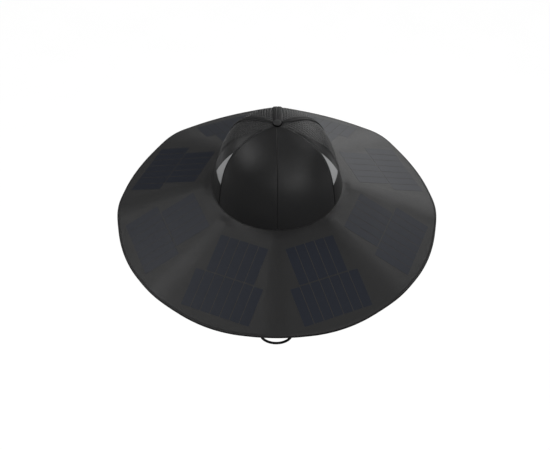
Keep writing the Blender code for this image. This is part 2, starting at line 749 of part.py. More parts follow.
NECK_TOP = LOCK_Z + 0.0245
NECK_LOW = LOCK_Z - 0.0245
half_path = [(CORD_ANCHOR_X, AXIS_Z + 0.00147, 0.12), (CORD_ANCHOR_X, AXIS_Z + 0.0012, 0.58),
             (CORD_ANCHOR_X, AXIS_Z + 0.0006, 0.90), (CORD_ANCHOR_X, AXIS_Z - 0.0004, 1.0)]
strand = bezier((CORD_ANCHOR_X, AXIS_Z - 0.0052), (CORD_ANCHOR_X + 0.001, AXIS_Z - 0.100),
                (STRAND_X + 0.0002, NECK_TOP + 0.055), (STRAND_X, NECK_TOP), 22, False)
neck = [(STRAND_X, NECK_TOP + (NECK_LOW - NECK_TOP) * k / 4.0) for k in range(1, 5)]
WIDEST_Z = CORD_BOTTOM_Z + CORD_LOOP_RADIUS
loop = bezier((STRAND_X, NECK_LOW), (STRAND_X + 0.0005, NECK_LOW - 0.014),
              (CORD_LOOP_RADIUS, WIDEST_Z + 0.020), (CORD_LOOP_RADIUS, WIDEST_Z), 8, True)
loop += bezier((CORD_LOOP_RADIUS, WIDEST_Z), (CORD_LOOP_RADIUS, WIDEST_Z - 0.5523 * CORD_LOOP_RADIUS),
               (0.5523 * CORD_LOOP_RADIUS, CORD_BOTTOM_Z), (0.0, CORD_BOTTOM_Z), 8, True)
half_path += [(x, z, 1.0) for x, z in strand + neck + loop]
path = [(-x, z, w) for x, z, w in half_path] + [(x, z, w) for x, z, w in half_path[-2::-1]]

cord_origin = Vector((0.0, CORD_Y, AXIS_Z))
curve = bpy.data.curves.new("chin_cord", "CURVE")
curve.dimensions = "3D"
curve.bevel_depth = CORD_RADIUS
curve.bevel_resolution = 2
curve.render_resolution_u = 0
curve.use_fill_caps = True
spline = curve.splines.new("POLY")
spline.points.add(len(path) - 1)
for point, (x, z, width) in zip(spline.points, path):
    point.co = (x, 0.0, z - AXIS_Z, 1.0)
    point.radius = width
sweep = bpy.data.objects.new("sweep", curve)
cord = bpy.data.objects.new("chin_cord", bpy.data.meshes.new_from_object(sweep))
bpy.data.objects.remove(sweep)
cord.data.name = "chin_cord"
cord.location = cord_origin
bpy.context.scene.collection.objects.link(cord)
cord.data.materials.clear()
cord.data.materials.append(material("chin_cord", *CORD_BLACK))
combine(cord, [cross_bar("pin", PIN_RADIUS, side * CORD_ANCHOR_X, PIN_HALF) for side in (-1.0, 1.0)],
        "UNION")

# Sprung cord lock: a body that slides on the two strands, a plunger across them and a spring.
lock_at = Vector((0.0, CORD_Y, LOCK_Z))
LOCK_X, LOCK_Y0, LOCK_Y1, LOCK_HALF = 0.0082, -0.0065, 0.0104, 0.0095
BORE = 0.0058
PLUNGER = 0.0054
WAY_X = STRAND_X + CORD_RADIUS + 0.0004
WAY_Y = CORD_RADIUS + 0.0004


def lock(x, y, z):
    return tuple(lock_at + Vector((x, y, z)))


def lock_depth(x, z, y):
    return lock(x, y, z)


soft = rounded(LOCK_X, LOCK_HALF, 0.0035)
small = rounded(LOCK_X - 0.0010, LOCK_HALF - 0.0010, 0.0025)
body = add_node("cord_lock_body", *stacked([
    (small, LOCK_Y0), (soft, LOCK_Y0 + 0.0010), (soft, LOCK_Y1 - 0.0010), (small, LOCK_Y1)],
    lock_depth), BLACK_PLASTIC, lock_at)
bore = add_node("bore", *lathe([(0.0, -0.009), (BORE, -0.009), (BORE, 0.0089), (0.0, 0.0089)], 24,
                               lock_depth), BLACK_PLASTIC)
way = add_node("way", *prism(rounded(WAY_X, WAY_Y, 0.0017, 4), -0.012, 0.012, lock), BLACK_PLASTIC)
combine(body, [bore, way], "DIFFERENCE")

PRESS = 0.0026
plunger = add_node("cord_lock_button", *lathe([
    (0.0, -0.0112), (PLUNGER - 0.0012, -0.0112), (PLUNGER - 0.0003, -0.0106), (PLUNGER, -0.0096),
    (PLUNGER, 0.0058), (0.0041, 0.0058), (0.0041, 0.0026), (0.0, 0.0026)], 24, lock_depth), RUBBER,
    lock_at)
slot = add_node("slot", *prism([
    (WAY_X, -CORD_RADIUS - PRESS - 0.0004), (WAY_X, CORD_RADIUS + 0.0004),
    (-WAY_X, CORD_RADIUS + 0.0004), (-WAY_X, -CORD_RADIUS - PRESS - 0.0004)],
    -0.012, 0.012, lock), RUBBER)
combine(plunger, [slot], "DIFFERENCE")

# The spring is a coil of wire in the plunger's recess, at the length it has when pressed.
WIRE = 0.0003
COIL = 0.0034
TURNS = 2.5
per_turn = 12
coil_low, coil_high = 0.0055 + WIRE, 0.0086 - WIRE
coil_points = []
for k in range(int(TURNS * per_turn) + 1):
    a = 2.0 * math.pi * k / per_turn
    y = coil_low + (coil_high - coil_low) * k / (TURNS * per_turn)
    coil_points.append((COIL * math.cos(a), y, COIL * math.sin(a)))
spring_data = bpy.data.curves.new("cord_lock_spring", "CURVE")
spring_data.dimensions = "3D"
spring_data.bevel_depth = WIRE
spring_data.bevel_resolution = 0
spring_data.render_resolution_u = 0
spring_data.use_fill_caps = True
spring_line = spring_data.splines.new("POLY")
spring_line.points.add(len(coil_points) - 1)
for point, (x, y, z) in zip(spring_line.points, coil_points):
    point.co = (x, y, z, 1.0)
spring = bpy.data.objects.new("cord_lock_spring", spring_data)
spring.location = lock_at
bpy.context.scene.collection.objects.link(spring)
spring_data.materials.append(material("cord_lock_spring", *STEEL))
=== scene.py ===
import json
import math

import bpy
import numpy as np
from mathutils import Matrix, Vector


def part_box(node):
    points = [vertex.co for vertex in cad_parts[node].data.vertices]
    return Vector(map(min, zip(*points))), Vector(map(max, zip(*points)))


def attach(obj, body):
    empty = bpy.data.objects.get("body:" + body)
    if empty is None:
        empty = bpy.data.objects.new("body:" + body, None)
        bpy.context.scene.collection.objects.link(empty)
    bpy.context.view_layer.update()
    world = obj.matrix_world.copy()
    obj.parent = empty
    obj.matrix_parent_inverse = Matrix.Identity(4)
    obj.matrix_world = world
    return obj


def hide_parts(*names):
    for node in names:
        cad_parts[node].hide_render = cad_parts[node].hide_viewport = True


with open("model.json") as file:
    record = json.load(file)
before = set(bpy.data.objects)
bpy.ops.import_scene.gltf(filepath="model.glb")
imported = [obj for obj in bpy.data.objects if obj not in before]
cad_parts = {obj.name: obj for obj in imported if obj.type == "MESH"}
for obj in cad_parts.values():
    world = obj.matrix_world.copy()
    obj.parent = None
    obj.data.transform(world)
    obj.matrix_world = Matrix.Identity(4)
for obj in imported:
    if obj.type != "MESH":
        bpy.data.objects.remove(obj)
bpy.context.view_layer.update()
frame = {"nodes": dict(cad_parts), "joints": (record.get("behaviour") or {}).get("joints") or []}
nodes = frame["nodes"]

# Lengths are in metres and angles in degrees, unless a name or comment says otherwise.
DEG = math.pi / 180.0
PITCH = 0.015  # from one cell strip to the next
CELL_GAP = 0.00034  # cloth left bare on each side of a strip
CELL_LENGTH = 0.05676
CELL_START = 0.13113  # inner end of the inner block, down the facet from the apex
BLOCK_GAP = 0.0017  # between the inner and the outer block
CELL_BLOCKS = ((5, CELL_START), (7, CELL_START + CELL_LENGTH + BLOCK_GAP))
SLOPE = 22.8 * DEG  # of the brim, in radians
APEX_Z = 0.04095  # where the eight facets would meet
RIDGE_ROUND = 5.4  # half the turn over which a ridge is rounded
BRIM_RADIUS = 0.24473
RIDGE_BULGE = 0.0016  # how far the rim reaches out at a ridge
HEAD_RADIUS = 0.095
CROWN_RADIUS = 0.0984
BLEND_RADIUS = 0.113  # where the round inner edge of the brim has become facets
CROWN_HEIGHT = 0.11564
CROWN_SEAM = 60.0  # front to side panels
BACK_SEAM = 119.0  # side to back panels
CORD_RADIUS = 0.0017  # where the cord is held
CORD_FREE_RADIUS = 0.00235  # where it hangs
CORD_LOOP_RADIUS = 0.0275
CORD_X = 0.101  # of the cord's ends, to each side
CORD_Y = -0.020
BAND_TOP = 0.028  # of the cloth band at the back
PANEL_THICK = 0.0011
SIDES = (("left", -1.0), ("right", 1.0))
LENGTH_UV = 0.16  # metres of cloth along a whole meridian of the crown
CROWN_UV = 0.09  # radius at which the cloth round the crown is measured
RIM_UV = 0.245  # the same for the tape round the rim

CAMERA_PLACE = (-0.0028, -1.00973, 0.97203)
CAMERA_DIP = 46.513  # below level
CAMERA_ROLL = 0.215
CAMERA_LENS = 60.875  # mm, on a 36 mm sensor


def show(name, data):
    """Puts data into the scene as an object."""
    obj = bpy.data.objects.new(name, data)
    bpy.context.scene.collection.objects.link(obj)
    return obj


# ------------------------ camera

camera_data = bpy.data.cameras.new("camera")
camera_data.sensor_width = 36.0
camera_data.lens = CAMERA_LENS
camera = show("camera", camera_data)
camera.matrix_world = (Matrix.Translation(CAMERA_PLACE)
                       @ Matrix.Rotation((90.0 - CAMERA_DIP) * DEG, 4, "X")
                       @ Matrix.Rotation(CAMERA_ROLL * DEG, 4, "Z"))
bpy.context.scene.camera = camera
bpy.context.scene.view_settings.view_transform = "Standard"


# ------------------------ node trees

class Look:
    """A material and short ways to add nodes to it."""

    def __init__(self, name, color, rough, **values):
        self.mat = bpy.data.materials.new(name)
        self.mat.use_nodes = True
        self.tree = self.mat.node_tree
        self.bsdf = self.tree.nodes["Principled BSDF"]
        self.set("Base Color", (*color, 1.0))
        self.set("Roughness", rough)
        for key, value in values.items():
            self.set(key.replace("_", " "), value)

    def put(self, target, value):
        """Links a socket into the target, or sets the target's own value."""
        if isinstance(value, bpy.types.NodeSocket):
            self.tree.links.new(value, target)
        else:
            target.default_value = value

    def set(self, socket, value):
        self.put(self.bsdf.inputs[socket], value)

    def node(self, kind, inputs, out=0, **props):
        n = self.tree.nodes.new(kind)
        for key, value in props.items():
            setattr(n, key, value)
        for key, value in inputs.items():
            self.put(n.inputs[key], value)
        return n.outputs[out]

    def math(self, op, a, b=0.0, c=0.0):
        return self.node("ShaderNodeMath", {0: a, 1: b, 2: c}, operation=op)

    def uv(self):
        coords = self.node("ShaderNodeUVMap", {}, uv_map="cloth")
        parts = self.tree.nodes.new("ShaderNodeSeparateXYZ")
        self.tree.links.new(coords, parts.inputs[0])
        return coords, parts.outputs[0], parts.outputs[1]

    def noise(self, where, scale, detail=3.0, rough=0.5):
        return self.node("ShaderNodeTexNoise", {"Vector": where, "Scale": scale, "Detail": detail,
                                                "Roughness": rough})

    def place(self):
        """The place on the object, in metres."""
        return self.node("ShaderNodeTexCoord", {}, out=3)

    def tint(self, factor, color):
        """Turns the base colour into another one where factor is 1."""
        plain = self.bsdf.inputs["Base Color"].links[0].from_socket
        self.set("Base Color", self.blend(factor, plain, color))

    def ramp(self, value, low, high):
        """value taken from low..high to 0..1."""
        return self.node("ShaderNodeMapRange", {"Value": value, "From Min": low, "From Max": high})

    def blend(self, factor, a, b):
        n = self.tree.nodes.new("ShaderNodeMix")
        n.data_type = "RGBA"
        self.tree.links.new(factor, n.inputs[0])
        for slot, value in ((6, a), (7, b)):
            self.put(n.inputs[slot], (*value, 1.0) if isinstance(value, tuple) else value)
        return n.outputs[2]

    def bump(self, height, strength, distance, under=None):
        inputs = {"Height": height, "Strength": strength, "Distance": distance}
        if under is not None:
            inputs["Normal"] = under
        return self.node("ShaderNodeBump", inputs)

    def weave(self, u, v, pitch):
        """Height of a plain weave, and which thread is on top."""
        su = self.math("SINE", self.math("MULTIPLY", u, math.pi / pitch))
        sv = self.math("SINE", self.math("MULTIPLY", v, math.pi / pitch))
        both = self.math("MULTIPLY", su, sv)
        height = self.math("POWER", self.math("ABSOLUTE", both), 0.6)
        return height, self.ramp(both, -0.25, 0.25)


def shade(color, k):
    return tuple(c * k for c in color)


def cloth(name, color, rough, pitch, strength, specular, sheen=0.0):
    """Woven cloth: two thread tones, slubs, fuzz and soft wear."""
    look = Look(name, color, rough, Specular_IOR_Level=specular, Sheen_Weight=sheen)
    coords, u, v = look.uv()
    height, on_top = look.weave(u, v, pitch)
    threads = look.blend(on_top, shade(color, 0.82), shade(color, 1.15))
    slub = look.ramp(look.noise(coords, 900.0, 2.0), 0.35, 0.65)
    wear = look.ramp(look.noise(coords, 28.0, 5.0, 0.6), 0.30, 0.72)
    mottled = look.blend(slub, shade(color, 0.88), threads)
    look.set("Base Color", look.blend(wear, look.blend(slub, shade(color, 0.94), mottled), threads))
    look.set("Roughness", look.math("ADD", look.math("MULTIPLY", wear, 0.06), rough - 0.03))
    fine = look.bump(height, strength, 0.0002)
    look.set("Normal", look.bump(look.noise(coords, 1400.0, 2.0), strength * 0.35, 0.0001, fine))
    return look


def rim_look():
    """Edge tape with painted shade: its outer turn, which sits lower, is tinted near black and made
    less glossy; at the back the painted shade is wider.
    """
    look = cloth("binding_cloth", (0.0160, 0.0160, 0.0165), 0.50, 0.0006, 0.30, 0.30, 0.08)
    coords, along, around = look.uv()
    to_back = look.math("MINIMUM", look.math("COSINE", look.math("DIVIDE", along, RIM_UV)), 0.0)
    around = look.math("MULTIPLY_ADD", to_back, -0.0006, around)
    shade_edge_wobble = look.noise(look.place(), 260.0, 3.0)
    turn = look.ramp(look.math("MULTIPLY_ADD", shade_edge_wobble, 0.0002, around), 0.00155, 0.00190)
    # Painted shade on the tape's outer turn, with noise wobbling the edge of the shaded band.
    look.tint(turn, (0.0030, 0.0030, 0.0032))
    look.set("Specular IOR Level", look.math("MULTIPLY_ADD", turn, -0.24, 0.30))
    return look


def side_panel_look():
    """Side cloth with painted shade towards the crown's foot, where it meets the brim: darker and
    less glossy there.
    """
    look = cloth("side_cloth", (0.0180, 0.0180, 0.0185), 0.46, 0.0005, 0.18, 0.34, 0.07)
    levels = look.tree.nodes.new("ShaderNodeSeparateXYZ")
    look.tree.links.new(look.place(), levels.inputs[0])
    rise = look.math("MULTIPLY_ADD", look.noise(look.place(), 90.0, 3.0), 0.004, levels.outputs[2])
    foot = look.ramp(rise, 0.052, 0.040)
    # Painted shade: the side cloth is tinted darker and made less glossy low down, near the brim.
    look.tint(foot, (0.0075, 0.0075, 0.0078))
    look.set("Specular IOR Level", look.math("MULTIPLY_ADD", foot, -0.22, 0.34))
    return look


brim_look = cloth("brim_cloth", (0.0165, 0.0165, 0.0170), 0.46, 0.0006, 0.25, 0.30, 0.10)
brim_look.set("Sheen Roughness", 0.5)
lining_look = cloth("lining_cloth", (0.011, 0.011, 0.012), 0.62, 0.0008, 0.35, 0.22, 0.08)
binding_look = rim_look()
crown_look = cloth("crown_cloth", (0.0150, 0.0150, 0.0154), 0.48, 0.0005, 0.18, 0.28, 0.06)
crown_look.set("Sheen Roughness", 0.4)
side_look = side_panel_look()
tape_look = cloth("tape_cloth", (0.010, 0.010, 0.0105), 0.55, 0.0010, 0.60, 0.30)
mesh_look = cloth("mesh_cloth", (0.0175, 0.0175, 0.0178), 0.50, 0.00035, 0.35, 0.42, 0.12)
back_look = cloth("mesh_backing", (0.0240, 0.0242, 0.0252), 0.46, 0.0003, 0.12, 0.60)
band_look = cloth("sweatband_cloth", (0.013, 0.013, 0.014), 0.75, 0.0012, 0.70, 0.15, 0.20)
button_look = cloth("button_cloth", (0.027, 0.027, 0.0275), 0.48, 0.0005, 0.20, 0.40)
# Near-black felt under the button: a painted shadow for the dark gap below the cap.
shadow_felt_look = cloth("button_shadow_felt", (0.0012, 0.0012, 0.0012), 0.85, 0.0005, 0.30, 0.05)


def thread_look():
    """Twisted sewing thread."""
    look = Look("thread", (0.012, 0.012, 0.013), 0.42, Specular_IOR_Level=0.4)
    coords, u, v = look.uv()
    twist = look.math("SINE", look.math("ADD", look.math("MULTIPLY", u, 7000.0),
                                        look.math("MULTIPLY", v, 5000.0)))
    look.set("Base Color", look.blend(look.ramp(twist, -1.0, 1.0), (0.008, 0.008, 0.0085),
                                      (0.017, 0.017, 0.018)))
    look.set("Normal", look.bump(twist, 0.5, 0.0001))
    return look


thread = thread_look()


def reflect_look():
    """Grey reflective cloth: tiny beads under a thin film."""
    tone = (0.40, 0.405, 0.41)
    look = Look("reflective_cloth", tone, 0.42, Specular_IOR_Level=0.5)
    coords, u, v = look.uv()
    beads = look.node("ShaderNodeTexVoronoi", {"Vector": coords, "Scale": 2600.0}, out=0)
    soft = look.noise(coords, 60.0, 4.0)
    grey = look.blend(look.ramp(beads, 0.0, 0.7), shade(tone, 1.18), shade(tone, 0.84))
    look.set("Base Color", look.blend(look.ramp(soft, 0.3, 0.7), shade(tone, 0.93), grey))
    look.set("Roughness", look.math("ADD", look.math("MULTIPLY", soft, 0.15), 0.34))
    look.set("Normal", look.bump(beads, 0.25, 0.0001))
    return look


reflective = reflect_look()


def cell_look():
    """Laminated solar cell: fine contact fingers, bus lines, crystal mottle and a satin film."""
    tone = (0.0064, 0.0091, 0.0172)
    look = Look("solar_cell", tone, 0.45, Specular_IOR_Level=0.30)
    coords, u, v = look.uv()
    across = look.math("PINGPONG", u, 0.00075)
    finger = look.ramp(across, 0.00012, 0.00004)
    along = look.math("PINGPONG", v, 0.0142)
    bus = look.ramp(along, 0.00050, 0.00036)
    grains = look.node("ShaderNodeTexVoronoi", {"Vector": coords, "Scale": 260.0}, out=1)
    grain = look.node("ShaderNodeSeparateColor", {0: grains}, out=0)
    cell = look.blend(grain, shade(tone, 0.96), shade(tone, 1.05))
    lines = look.blend(look.math("MULTIPLY", finger, 0.40), cell, (0.0084, 0.0111, 0.0192))
    look.set("Base Color", look.blend(look.math("MULTIPLY", bus, 0.20), lines,
                                      (0.0100, 0.0125, 0.0198)))
    cloudy = look.noise(coords, 45.0, 4.0)
    look.set("Roughness", look.math("ADD", look.math("MULTIPLY", cloudy, 0.08), 0.42))
    pebble = look.node("ShaderNodeTexVoronoi", {"Vector": coords, "Scale": 1100.0}, out=0)
    look.set("Normal", look.bump(pebble, 0.12, 0.0001))
    look.set("Sheen Weight", 0.06)
    return look


solar = cell_look()


def film_look():
    """Backing film of the cells: a matt, warm grey weave."""
    tone = (0.0470, 0.0428, 0.0360)
    look = Look("backing_film", tone, 0.60, Specular_IOR_Level=0.14)
    coords, u, v = look.uv()
    height, on_top = look.weave(u, v, 0.0004)
    look.set("Base Color", look.blend(on_top, shade(tone, 0.88), shade(tone, 1.12)))
    look.set("Normal", look.bump(height, 0.08, 0.0001))
    return look


film = film_look()


def moulded(name, color, rough, grain=1500.0, strength=0.15, **values):
    """Moulded plastic, rubber or metal with a fine grain, rubbed a little."""
    look = Look(name, color, rough, **values)
    where = look.place()
    fine = look.noise(where, grain, 2.0)
    rub = look.ramp(look.noise(where, 120.0, 5.0, 0.65), 0.35, 0.75)
    look.set("Base Color", look.blend(rub, shade(color, 0.85), shade(color, 1.2)))
    look.set("Roughness", look.math("ADD", look.math("MULTIPLY", rub, 0.14), rough - 0.07))
    look.set("Normal", look.bump(fine, strength, 0.0001))
    return look


plastic = moulded("black_plastic", (0.014, 0.014, 0.015), 0.48)
rubber = moulded("black_rubber", (0.012, 0.012, 0.012), 0.70, 2200.0, 0.25, Specular_IOR_Level=0.3)
steel = moulded("steel", (0.55, 0.55, 0.57), 0.30, 3000.0, 0.08, Metallic=1.0)
copper = moulded("copper", (0.55, 0.30, 0.14), 0.40, 900.0, 0.08, Metallic=1.0)
lamp = moulded("lamp_lens", (0.60, 0.66, 0.62), 0.22, 800.0, 0.05)


def board_look():
    """Fibre board: a green-black weave under varnish with pale copper pads."""
    look = Look("board", (0.018, 0.035, 0.022), 0.40)
    where = look.place()
    fibre = look.noise(where, 700.0, 3.0)
    pads = look.node("ShaderNodeTexBrick", {
        "Vector": where, "Scale": 160.0, "Color1": (0.02, 0.045, 0.026, 1.0),
        "Color2": (0.016, 0.034, 0.020, 1.0), "Mortar": (0.05, 0.075, 0.04, 1.0)})
    look.set("Base Color", look.blend(look.ramp(fibre, 0.3, 0.7), (0.014, 0.03, 0.018), pads))
    look.set("Normal", look.bump(fibre, 0.1, 0.0001))
    return look


board = board_look()


def cord_look():
    """Round braid: crossing bundles of fine threads."""
    look = Look("cord", (0.0030, 0.0030, 0.0033), 0.62, Specular_IOR_Level=0.12)
    coords, u, v = look.uv()
    height, on_top = look.weave(look.math("ADD", u, v), look.math("SUBTRACT", u, v), 0.0011)
    fibre = look.math("SINE", look.math("MULTIPLY", look.math("ADD", u, v), 26000.0))
    look.set("Base Color", look.blend(on_top, (0.0020, 0.0020, 0.0023), (0.0045, 0.0045, 0.0049)))
    bundle = look.bump(height, 0.8, 0.0003)
    look.set("Normal", look.bump(fibre, 0.15, 0.0001, bundle))
    return look


braid = cord_look()


# ------------------------ mesh helpers

def piece(name, points, faces, look, body="hat", replaces=(), uv=None, smooth=True):
    """A mesh object that rides a body and, where it stands for CAD nodes, replaces them."""
    mesh = bpy.data.meshes.new(name)
    points = np.asarray(points, float).reshape(-1, 3)
    mesh.from_pydata(points.tolist(), [], [tuple(int(i) for i in f) for f in faces])
    if uv is not None:
        uv = np.asarray(uv, float).reshape(-1, 2)
        layer = mesh.uv_layers.new(name="cloth")
        index = np.zeros(len(mesh.loops), np.int32)
        mesh.loops.foreach_get("vertex_index", index)
        layer.data.foreach_set("uv", uv[index].ravel().astype(np.float32))
    if smooth:
        mesh.polygons.foreach_set("use_smooth", [True] * len(mesh.polygons))
    mesh.materials.append(look.mat)
    obj = show(name, mesh)
    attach(obj, body)
    if replaces:
        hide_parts(*replaces)
    return obj


def grid_faces(nc, nr, closed=False, start=0, flip=False):
    """Quads between nc columns of nr points."""
    i = np.arange(nc if closed else nc - 1)
    k = np.arange(nr - 1)
    a = (i[:, None] * nr + k[None, :]).ravel() + start
    b = (((i + 1) % nc)[:, None] * nr + k[None, :]).ravel() + start
    quads = np.stack([a, b, b + 1, a + 1], 1)
    return quads[:, ::-1] if flip else quads


def sheet(name, outer, inner, uv, look, slot, replaces=(), closed=False, flip=False):
    """A thin closed body from two grids (columns, rows, 3)."""
    nc, nr = outer.shape[:2]
    n = nc * nr
    faces = [grid_faces(nc, nr, closed, 0, flip), grid_faces(nc, nr, closed, n, not flip)]
    i = np.arange(nc if closed else nc - 1)
    j = (i + 1) % nc
    for k, turn in ((0, False), (nr - 1, True)):
        q = np.stack([i * nr + k, j * nr + k, n + j * nr + k, n + i * nr + k], 1)
        faces.append(q if turn != flip else q[:, ::-1])
    if not closed:
        k = np.arange(nr - 1)
        for c, turn in ((0, True), (nc - 1, False)):
            a = c * nr + k
            q = np.stack([a, a + 1, n + a + 1, n + a], 1)
            faces.append(q if turn != flip else q[:, ::-1])
    points = np.concatenate([outer.reshape(-1, 3), inner.reshape(-1, 3)])
    return piece(name, points, np.concatenate(faces), look, replaces=replaces,
                 uv=np.concatenate([uv.reshape(-1, 2)] * 2))


def tube_faces(rings, sides, start=0):
    """Quads along a stack of rings, and a face over each end."""
    faces = []
    for k in range(rings - 1):
        a = start + k * sides
        for i in range(sides):
            j = (i + 1) % sides
            faces.append((a + i, a + j, a + sides + j, a + sides + i))
    last = start + (rings - 1) * sides
    faces.append(tuple(start + i for i in range(sides - 1, -1, -1)))
    faces.append(tuple(last + i for i in range(sides)))
    return faces


def run_along(points):
    """Length walked to each point."""
    return np.concatenate([[0.0], np.cumsum(np.linalg.norm(np.diff(points, axis=0), axis=1))])


def smooth(t):
    t = np.clip(t, 0.0, 1.0)
    return t * t * (3.0 - 2.0 * t)


def direction(az):
    """Level direction of an azimuth; 0 is the front."""
    a = np.asarray(az, float) * DEG
    return np.stack([np.sin(a), -np.cos(a), np.zeros_like(a)], -1)


def unit(v):
    return v / np.linalg.norm(v, axis=-1, keepdims=True)


def stitches(path, normals, length, gap, radius):
    """Thread dashes along a path, each dipping into the cloth at its ends."""
    path = np.asarray(path, float)
    normals = np.asarray(normals, float)
    run = run_along(path)

    def read(table, at):
        return np.array([np.interp(at, run, column) for column in table.T])

    count = max(1, int((run[-1] - 0.2 * gap) / (length + gap)))
    points, faces, coords = [], [], []
    sides = 6
    rings = [(-0.5, 0.30, -0.7), (-0.38, 0.85, 0.05), (0.0, 1.0, 0.30), (0.38, 0.85, 0.05),
             (0.5, 0.30, -0.7)]
    angle = np.arange(sides) * 2.0 * math.pi / sides
    pitch = run[-1] / count
    for m in range(count):
        mid = (m + 0.5) * pitch
        base = len(points) * sides
        for t, wide, up in rings:
            at = mid + t * length
            along = unit(read(path, at + 1e-4) - read(path, at - 1e-4))
            n = unit(read(normals, at))
            side = np.cross(along, n)
            ring = (read(path, at) + n * radius * (up - 0.07) + wide * radius *
                    (np.cos(angle)[:, None] * side + np.sin(angle)[:, None] * n))
            points.append(ring)
            coords.append(np.stack([angle * radius, np.full(sides, at)], 1))
        faces += tube_faces(len(rings), sides, base)
    return np.concatenate(points), faces, np.concatenate(coords)


class Seams:
    """Gathers many stitch rows into one piece."""

    def __init__(self):
        self.points, self.faces, self.uv, self.total = [], [], [], 0

    def add(self, path, normals, radius, length=0.0022, gap=0.0012):
        p, f, c = stitches(path, normals, length, gap, radius)
        self.points.append(p)
        self.uv.append(c)
        self.faces += [tuple(self.total + i for i in face) for face in f]
        self.total += len(p)

    def build(self, name):
        piece(name, np.concatenate(self.points), self.faces, thread,
              uv=np.concatenate(self.uv))


# ------------------------ brim

def ridge_angle(az):
    """Angle to the nearest ridge; a ridge runs every 45 degrees from the front."""
    d = np.mod(az, 45.0)
    return np.minimum(d, 45.0 - d)


def facet_factor(az):
    """Cosine of the angle to the facet's middle, rounded over at the ridge."""
    delta = ridge_angle(az) * DEG
    soft = RIDGE_ROUND * DEG
    half = 22.5 * DEG
    flat = np.cos(half - delta)
    ease = (soft * soft - delta * delta) / (2.0 * soft)
    return np.where(delta >= soft, flat, math.cos(half - soft) - math.sin(half - soft) * ease)


def brim_z(radius, az, depth=0.0):
    """Height of the brim's top; depth goes square into the cloth."""
    facet = APEX_Z - math.tan(SLOPE) * radius * facet_factor(az)
    ring = -math.tan(SLOPE) * 0.96 * (radius - CROWN_RADIUS)
    t = smooth((radius - CROWN_RADIUS) / (BLEND_RADIUS - CROWN_RADIUS))
    z = np.where(radius <= CROWN_RADIUS, 0.0, ring + (facet - ring) * t)
    return z - depth / math.cos(SLOPE)


def brim_edge(az):
    return BRIM_RADIUS + RIDGE_BULGE * np.cos(np.minimum(ridge_angle(az) * 8.0, 90.0) * DEG) ** 2


def brim_point(az, radius, depth):
    az, radius = np.broadcast_arrays(np.asarray(az, float), np.asarray(radius, float))
    p = direction(az) * radius[..., None]
    p[..., 2] = brim_z(radius, az, depth)
    return p


def ripple(az, radius):
    """Soft unevenness of the cloth, kept away from the cell blocks."""
    d = ridge_angle(az)
    clear = 1.0 - smooth((d - 3.0) / 3.5)
    near = 1.0 - smooth((radius - 0.100) / 0.022)
    a = az * DEG
    waves = (np.sin(17.0 * a + 60.0 * radius) + 0.7 * np.sin(29.0 * a - 95.0 * radius + 1.3)
             + 0.5 * np.sin(53.0 * a + 40.0 * radius + 0.4))
    return 0.00006 * waves * (0.8 * clear + 0.6 * near)


# Past BLEND_RADIUS the radii run on to 1, which stands for the rim.
columns = np.linspace(0.0, 360.0, 640, endpoint=False)[:, None]
radii = np.concatenate([[HEAD_RADIUS, 0.0967], np.linspace(CROWN_RADIUS, BLEND_RADIUS, 14),
                        np.linspace(BLEND_RADIUS, 1.0, 40)[1:]])
edge = brim_edge(columns) - 0.0009
share = (radii - BLEND_RADIUS) / (1.0 - BLEND_RADIUS)
R = np.where(radii > BLEND_RADIUS + 1e-9, BLEND_RADIUS + share * (edge - BLEND_RADIUS), radii)
top = brim_point(columns, R, 0.0)
top[..., 2] += ripple(columns, R) * (R > CROWN_RADIUS + 0.001)
under = brim_point(columns, R, 0.0007)
sheet("brim_cloth", top, under, top[..., :2].copy(), brim_look, "brim_cloth", ["brim_shell"], True)

# Depth of the lining under the brim's top: close at both edges, lower where it clears the boards.
# A negative radius is measured in from the rim.
NEAR = 0.0011
FAR = 0.0019
lining_cols = np.linspace(0.0, 360.0, 480, endpoint=False)
stops = [(0.0962, 0.0004), (0.0970, NEAR), (0.1023, NEAR), (0.1062, NEAR), (0.1096, NEAR + 0.0003),
         (0.1130, FAR), *((r, FAR) for r in np.linspace(0.1300, 0.2100, 5)),
         (0.2250, FAR), (-0.0083, FAR), (-0.0064, NEAR), (-0.0009, NEAR)]
LR = np.stack([np.full(len(lining_cols), r) if r > 0 else brim_edge(lining_cols) + r
               for r, d in stops], 1)
LD = np.array([d for r, d in stops])
lining_top = brim_point(lining_cols[:, None], LR, LD + 0.0001)
lining_low = brim_point(lining_cols[:, None], LR, LD + 0.0005)
sheet("under_brim_cloth", lining_top, lining_low, lining_top[..., :2].copy(), lining_look,
      "lining_cloth", ["brim_lining"], True)

# Folded edge tape, rounded over the rim, with a slightly puckered inner edge. Its section is
# given as (out from the rim, below the brim's top).
fold_cols = np.linspace(0.0, 360.0, 720, endpoint=False)
tape_profile = [(-0.0022, -0.00018), (-0.00215, -0.00030), (-0.0019, -0.00036), (-0.0015, -0.00034),
                (-0.0011, -0.00036), (-0.0006, -0.00035), (-0.0004, -0.00033), (-0.00015, -0.00018),
                (0.0, 0.0002), (0.0, 0.0010), (-0.0001, 0.0016), (-0.0004, 0.0020),
                (-0.0010, 0.0021), (-0.0019, 0.00208), (-0.0021, 0.0020), (-0.0022, 0.0018),
                (-0.0014, 0.0017), (-0.0007, 0.0017), (-0.0007, 0.0), (-0.0014, -0.0001)]
ring_points = []
ring_uv = []
rim = brim_edge(fold_cols)
pucker = 0.00005 * np.sin(fold_cols * DEG * 430.0)
for (back, depth), walked in zip(tape_profile, run_along(np.array(tape_profile))):
    wave = pucker if back < -0.0014 and depth < 0.0 else 0.0
    ring_points.append(brim_point(fold_cols, rim + back, depth + wave))
    ring_uv.append(np.stack([fold_cols * DEG * RIM_UV, np.full(len(fold_cols), walked)], 1))
ring_points = np.stack(ring_points, 1)
ring_uv = np.stack(ring_uv, 1)
